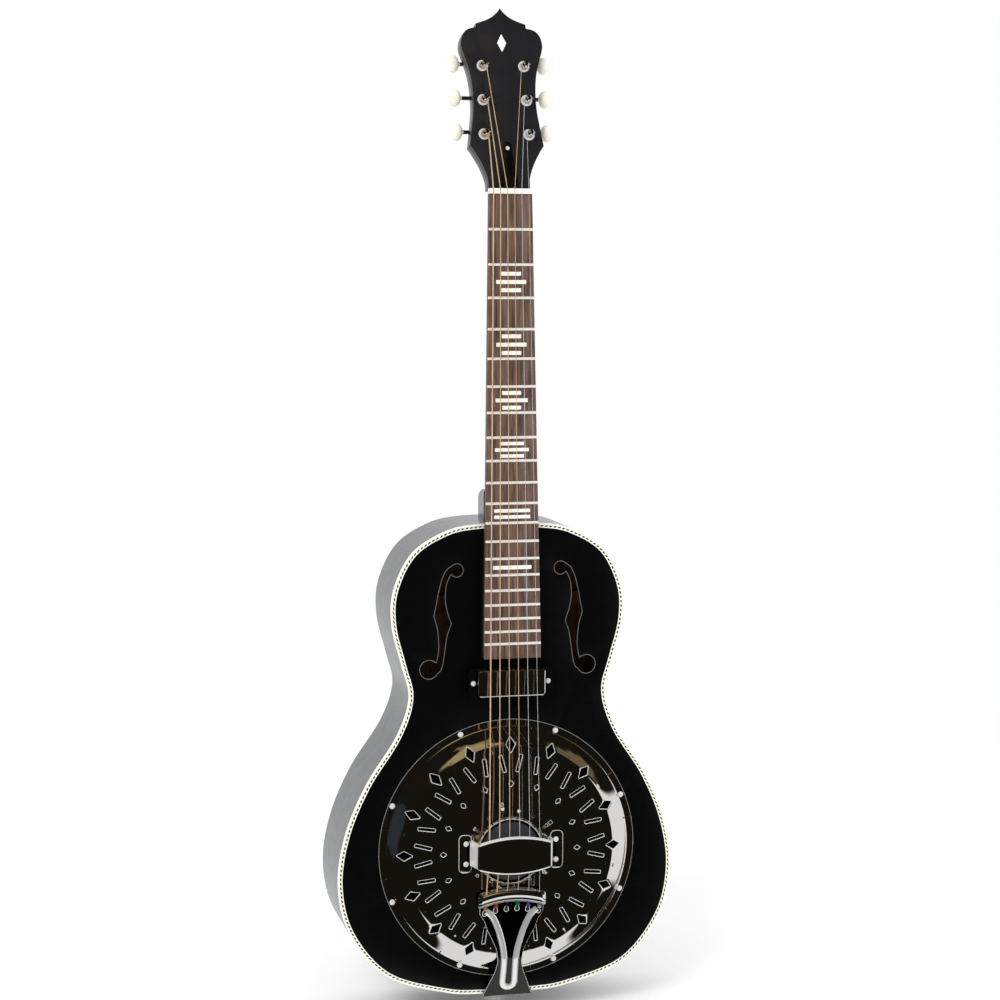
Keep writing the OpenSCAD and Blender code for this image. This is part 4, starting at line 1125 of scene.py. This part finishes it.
# What polished metal mirrors: direction, reach and colour of each patch in a dark room.
ROOM_DARK = (0.009, 0.0075, 0.005, 1)
ROOM_PATCHES = [((-0.1, -0.75, 0.5), 0.3, (0.36, 0.28, 0.13, 1)),
                ((0.72, -0.56, 0.38), 0.26, (0.14, 0.11, 0.06, 1)),
                ((0.2, -0.9, 0.35), 0.14, (0.1, 0.05, 0.012, 1)),
                ((-0.85, -0.5, 0.0), 0.3, (0.026, 0.03, 0.036, 1))]
PANEL_LIGHT = (0.82, 0.83, 0.84, 1)
WHITE = (1.0, 1.0, 1.0, 1)
PATCH_WARP = 0.4


def make_world():
    """White studio; metal mirrors light panels right, below and behind, and a dark room elsewhere."""
    world = bpy.data.worlds.new("studio")
    bpy.context.scene.world = world
    world.use_nodes = True
    tree = world.node_tree
    tree.nodes.clear()
    toward = add_node(tree, "ShaderNodeTexCoord").outputs["Generated"]

    def maths(operation, a, b, kind="ShaderNodeMath"):
        made = add_node(tree, kind, operation=operation)
        for socket, value in zip(made.inputs, (a, b)):
            if isinstance(value, bpy.types.NodeSocket):
                tree.links.new(value, socket)
            else:
                socket.default_value = value
        return made.outputs["Value"]

    def step_up(value, low, high):
        span = {"From Min": low, "From Max": high}
        made = add_node(tree, "ShaderNodeMapRange", interpolation_type="SMOOTHSTEP", Value=value, **span)
        return made.outputs["Result"]

    def mix(share, first, second):
        return add_node(tree, "ShaderNodeMixRGB", Fac=share, Color1=first, Color2=second).outputs["Color"]

    def between(value, low, high):
        return maths("MINIMUM", maths("SUBTRACT", value, low), maths("SUBTRACT", high, value))

    split = add_node(tree, "ShaderNodeSeparateXYZ", Vector=toward)
    x, y, z = (split.outputs[axis] for axis in "XYZ")
    right = maths("MINIMUM", maths("SUBTRACT", x, 0.62), between(z, -0.52, 0.13))
    under = maths("MINIMUM", maths("SUBTRACT", -0.55, z), between(x, -0.3, 0.62))
    behind = maths("SUBTRACT", y, 0.2)
    panels = step_up(maths("MAXIMUM", behind, maths("MAXIMUM", right, under)), 0.0, 0.06)

    warp = add_node(tree, "ShaderNodeTexNoise", Vector=toward, Scale=5.0).outputs["Fac"]
    room = ROOM_DARK
    for centre, reach, color in ROOM_PATCHES:
        apart = maths("ADD", maths("DISTANCE", toward, centre, "ShaderNodeVectorMath"),
                      maths("MULTIPLY", warp, PATCH_WARP))
        room = mix(step_up(apart, reach + PATCH_WARP / 2, reach + 0.12), room, color)
    glossy = add_node(tree, "ShaderNodeLightPath").outputs["Is Glossy Ray"]
    seen = mix(glossy, WHITE, mix(panels, room, PANEL_LIGHT))
    shade = add_node(tree, "ShaderNodeBackground", Color=seen)
    tree.links.new(shade.outputs[0], add_node(tree, "ShaderNodeOutputWorld").inputs["Surface"])


def make_light(name, place, power, size):
    """Soft area light aimed at the middle of the guitar, unseen by the camera and in reflections."""
    data = bpy.data.lights.new(name, "AREA")
    data.energy = power
    data.size = size
    lamp = add_object(name, data)
    lamp.location = place
    aim = Vector((0, 0, -0.35)) - Vector(place)
    lamp.rotation_euler = aim.to_track_quat("-Z", "Y").to_euler()
    lamp.visible_glossy = False
    lamp.visible_camera = False


# ---- the whole guitar ------------------------------------

bpy.context.scene.view_settings.view_transform = "Standard"
make_camera()
make_world()
make_floor()
make_light("key", (-1.6, -1.8, 1.3), 38, 1.2)
make_light("fill", (1.8, -1.6, 0.4), 18, 1.6)

# The soundboard takes the darker copy of the black lacquer, which is painted shade.
dress("soundboard", "front_lacquer_painted_shade", 0.35)
dress("binding", "binding_cream", 0.5)
dress("neck", "black_lacquer", 0.6)
dress("headplate", "headplate_black", 0.4)
dress("truss_rod_cover", "gloss_black", 0.35)
dress("fretboard_riser", "headplate_black", 0.3)
dress("fretboard", "rosewood", 0.25)
dress("frets", "nickel_silver")
dress("fretboard_inlays", "pearl")
dress("nut", "bone", 0.15)
for name in ("linings", "neck_block", "tail_block", "braces", "soundwell"):
    dress(name, "inside_brown", 0)
dress("truss_rod", "steel")
dress("neck_bolts", "steel")
dress("truss_rod_nut", "brass", 0.2)
dress("tuner_plates", "chrome", 0.2)
# The bushings take the bright copy of chrome all over: a painted highlight.
dress("tuner_bushings", "painted_highlight_chrome", 0.3)
dress("screws", "screw_steel", 0.12)
dress("cone", "spun_aluminium")
dress("biscuit", "biscuit_dark", 0.5)
dress("saddle", "maple", 0.15)
dress("pickup_ring", "gloss_black", 0.7)
dress("pickup_coil", "black_plastic")
dress("pickup_lead", "black_plastic")
dress("endpin_jack", "chrome", 0.4)
for number in range(1, STRING_COUNT + 1):
    dress(f"worm_shaft_{number}", "dark_steel")
    dress(f"string_post_{number}", "chrome", 0.15)
    make_string(number)
    make_button(number)

make_side(-1)
make_side(1)
make_back()
make_rope()
make_cover()
make_cover_edge()
make_hole_edges()
make_palm_rest()
make_pickup_cover()
make_tail_bar()
make_tail_plate()
make_tail_ribs()
make_keyholes()
make_head_inlay()
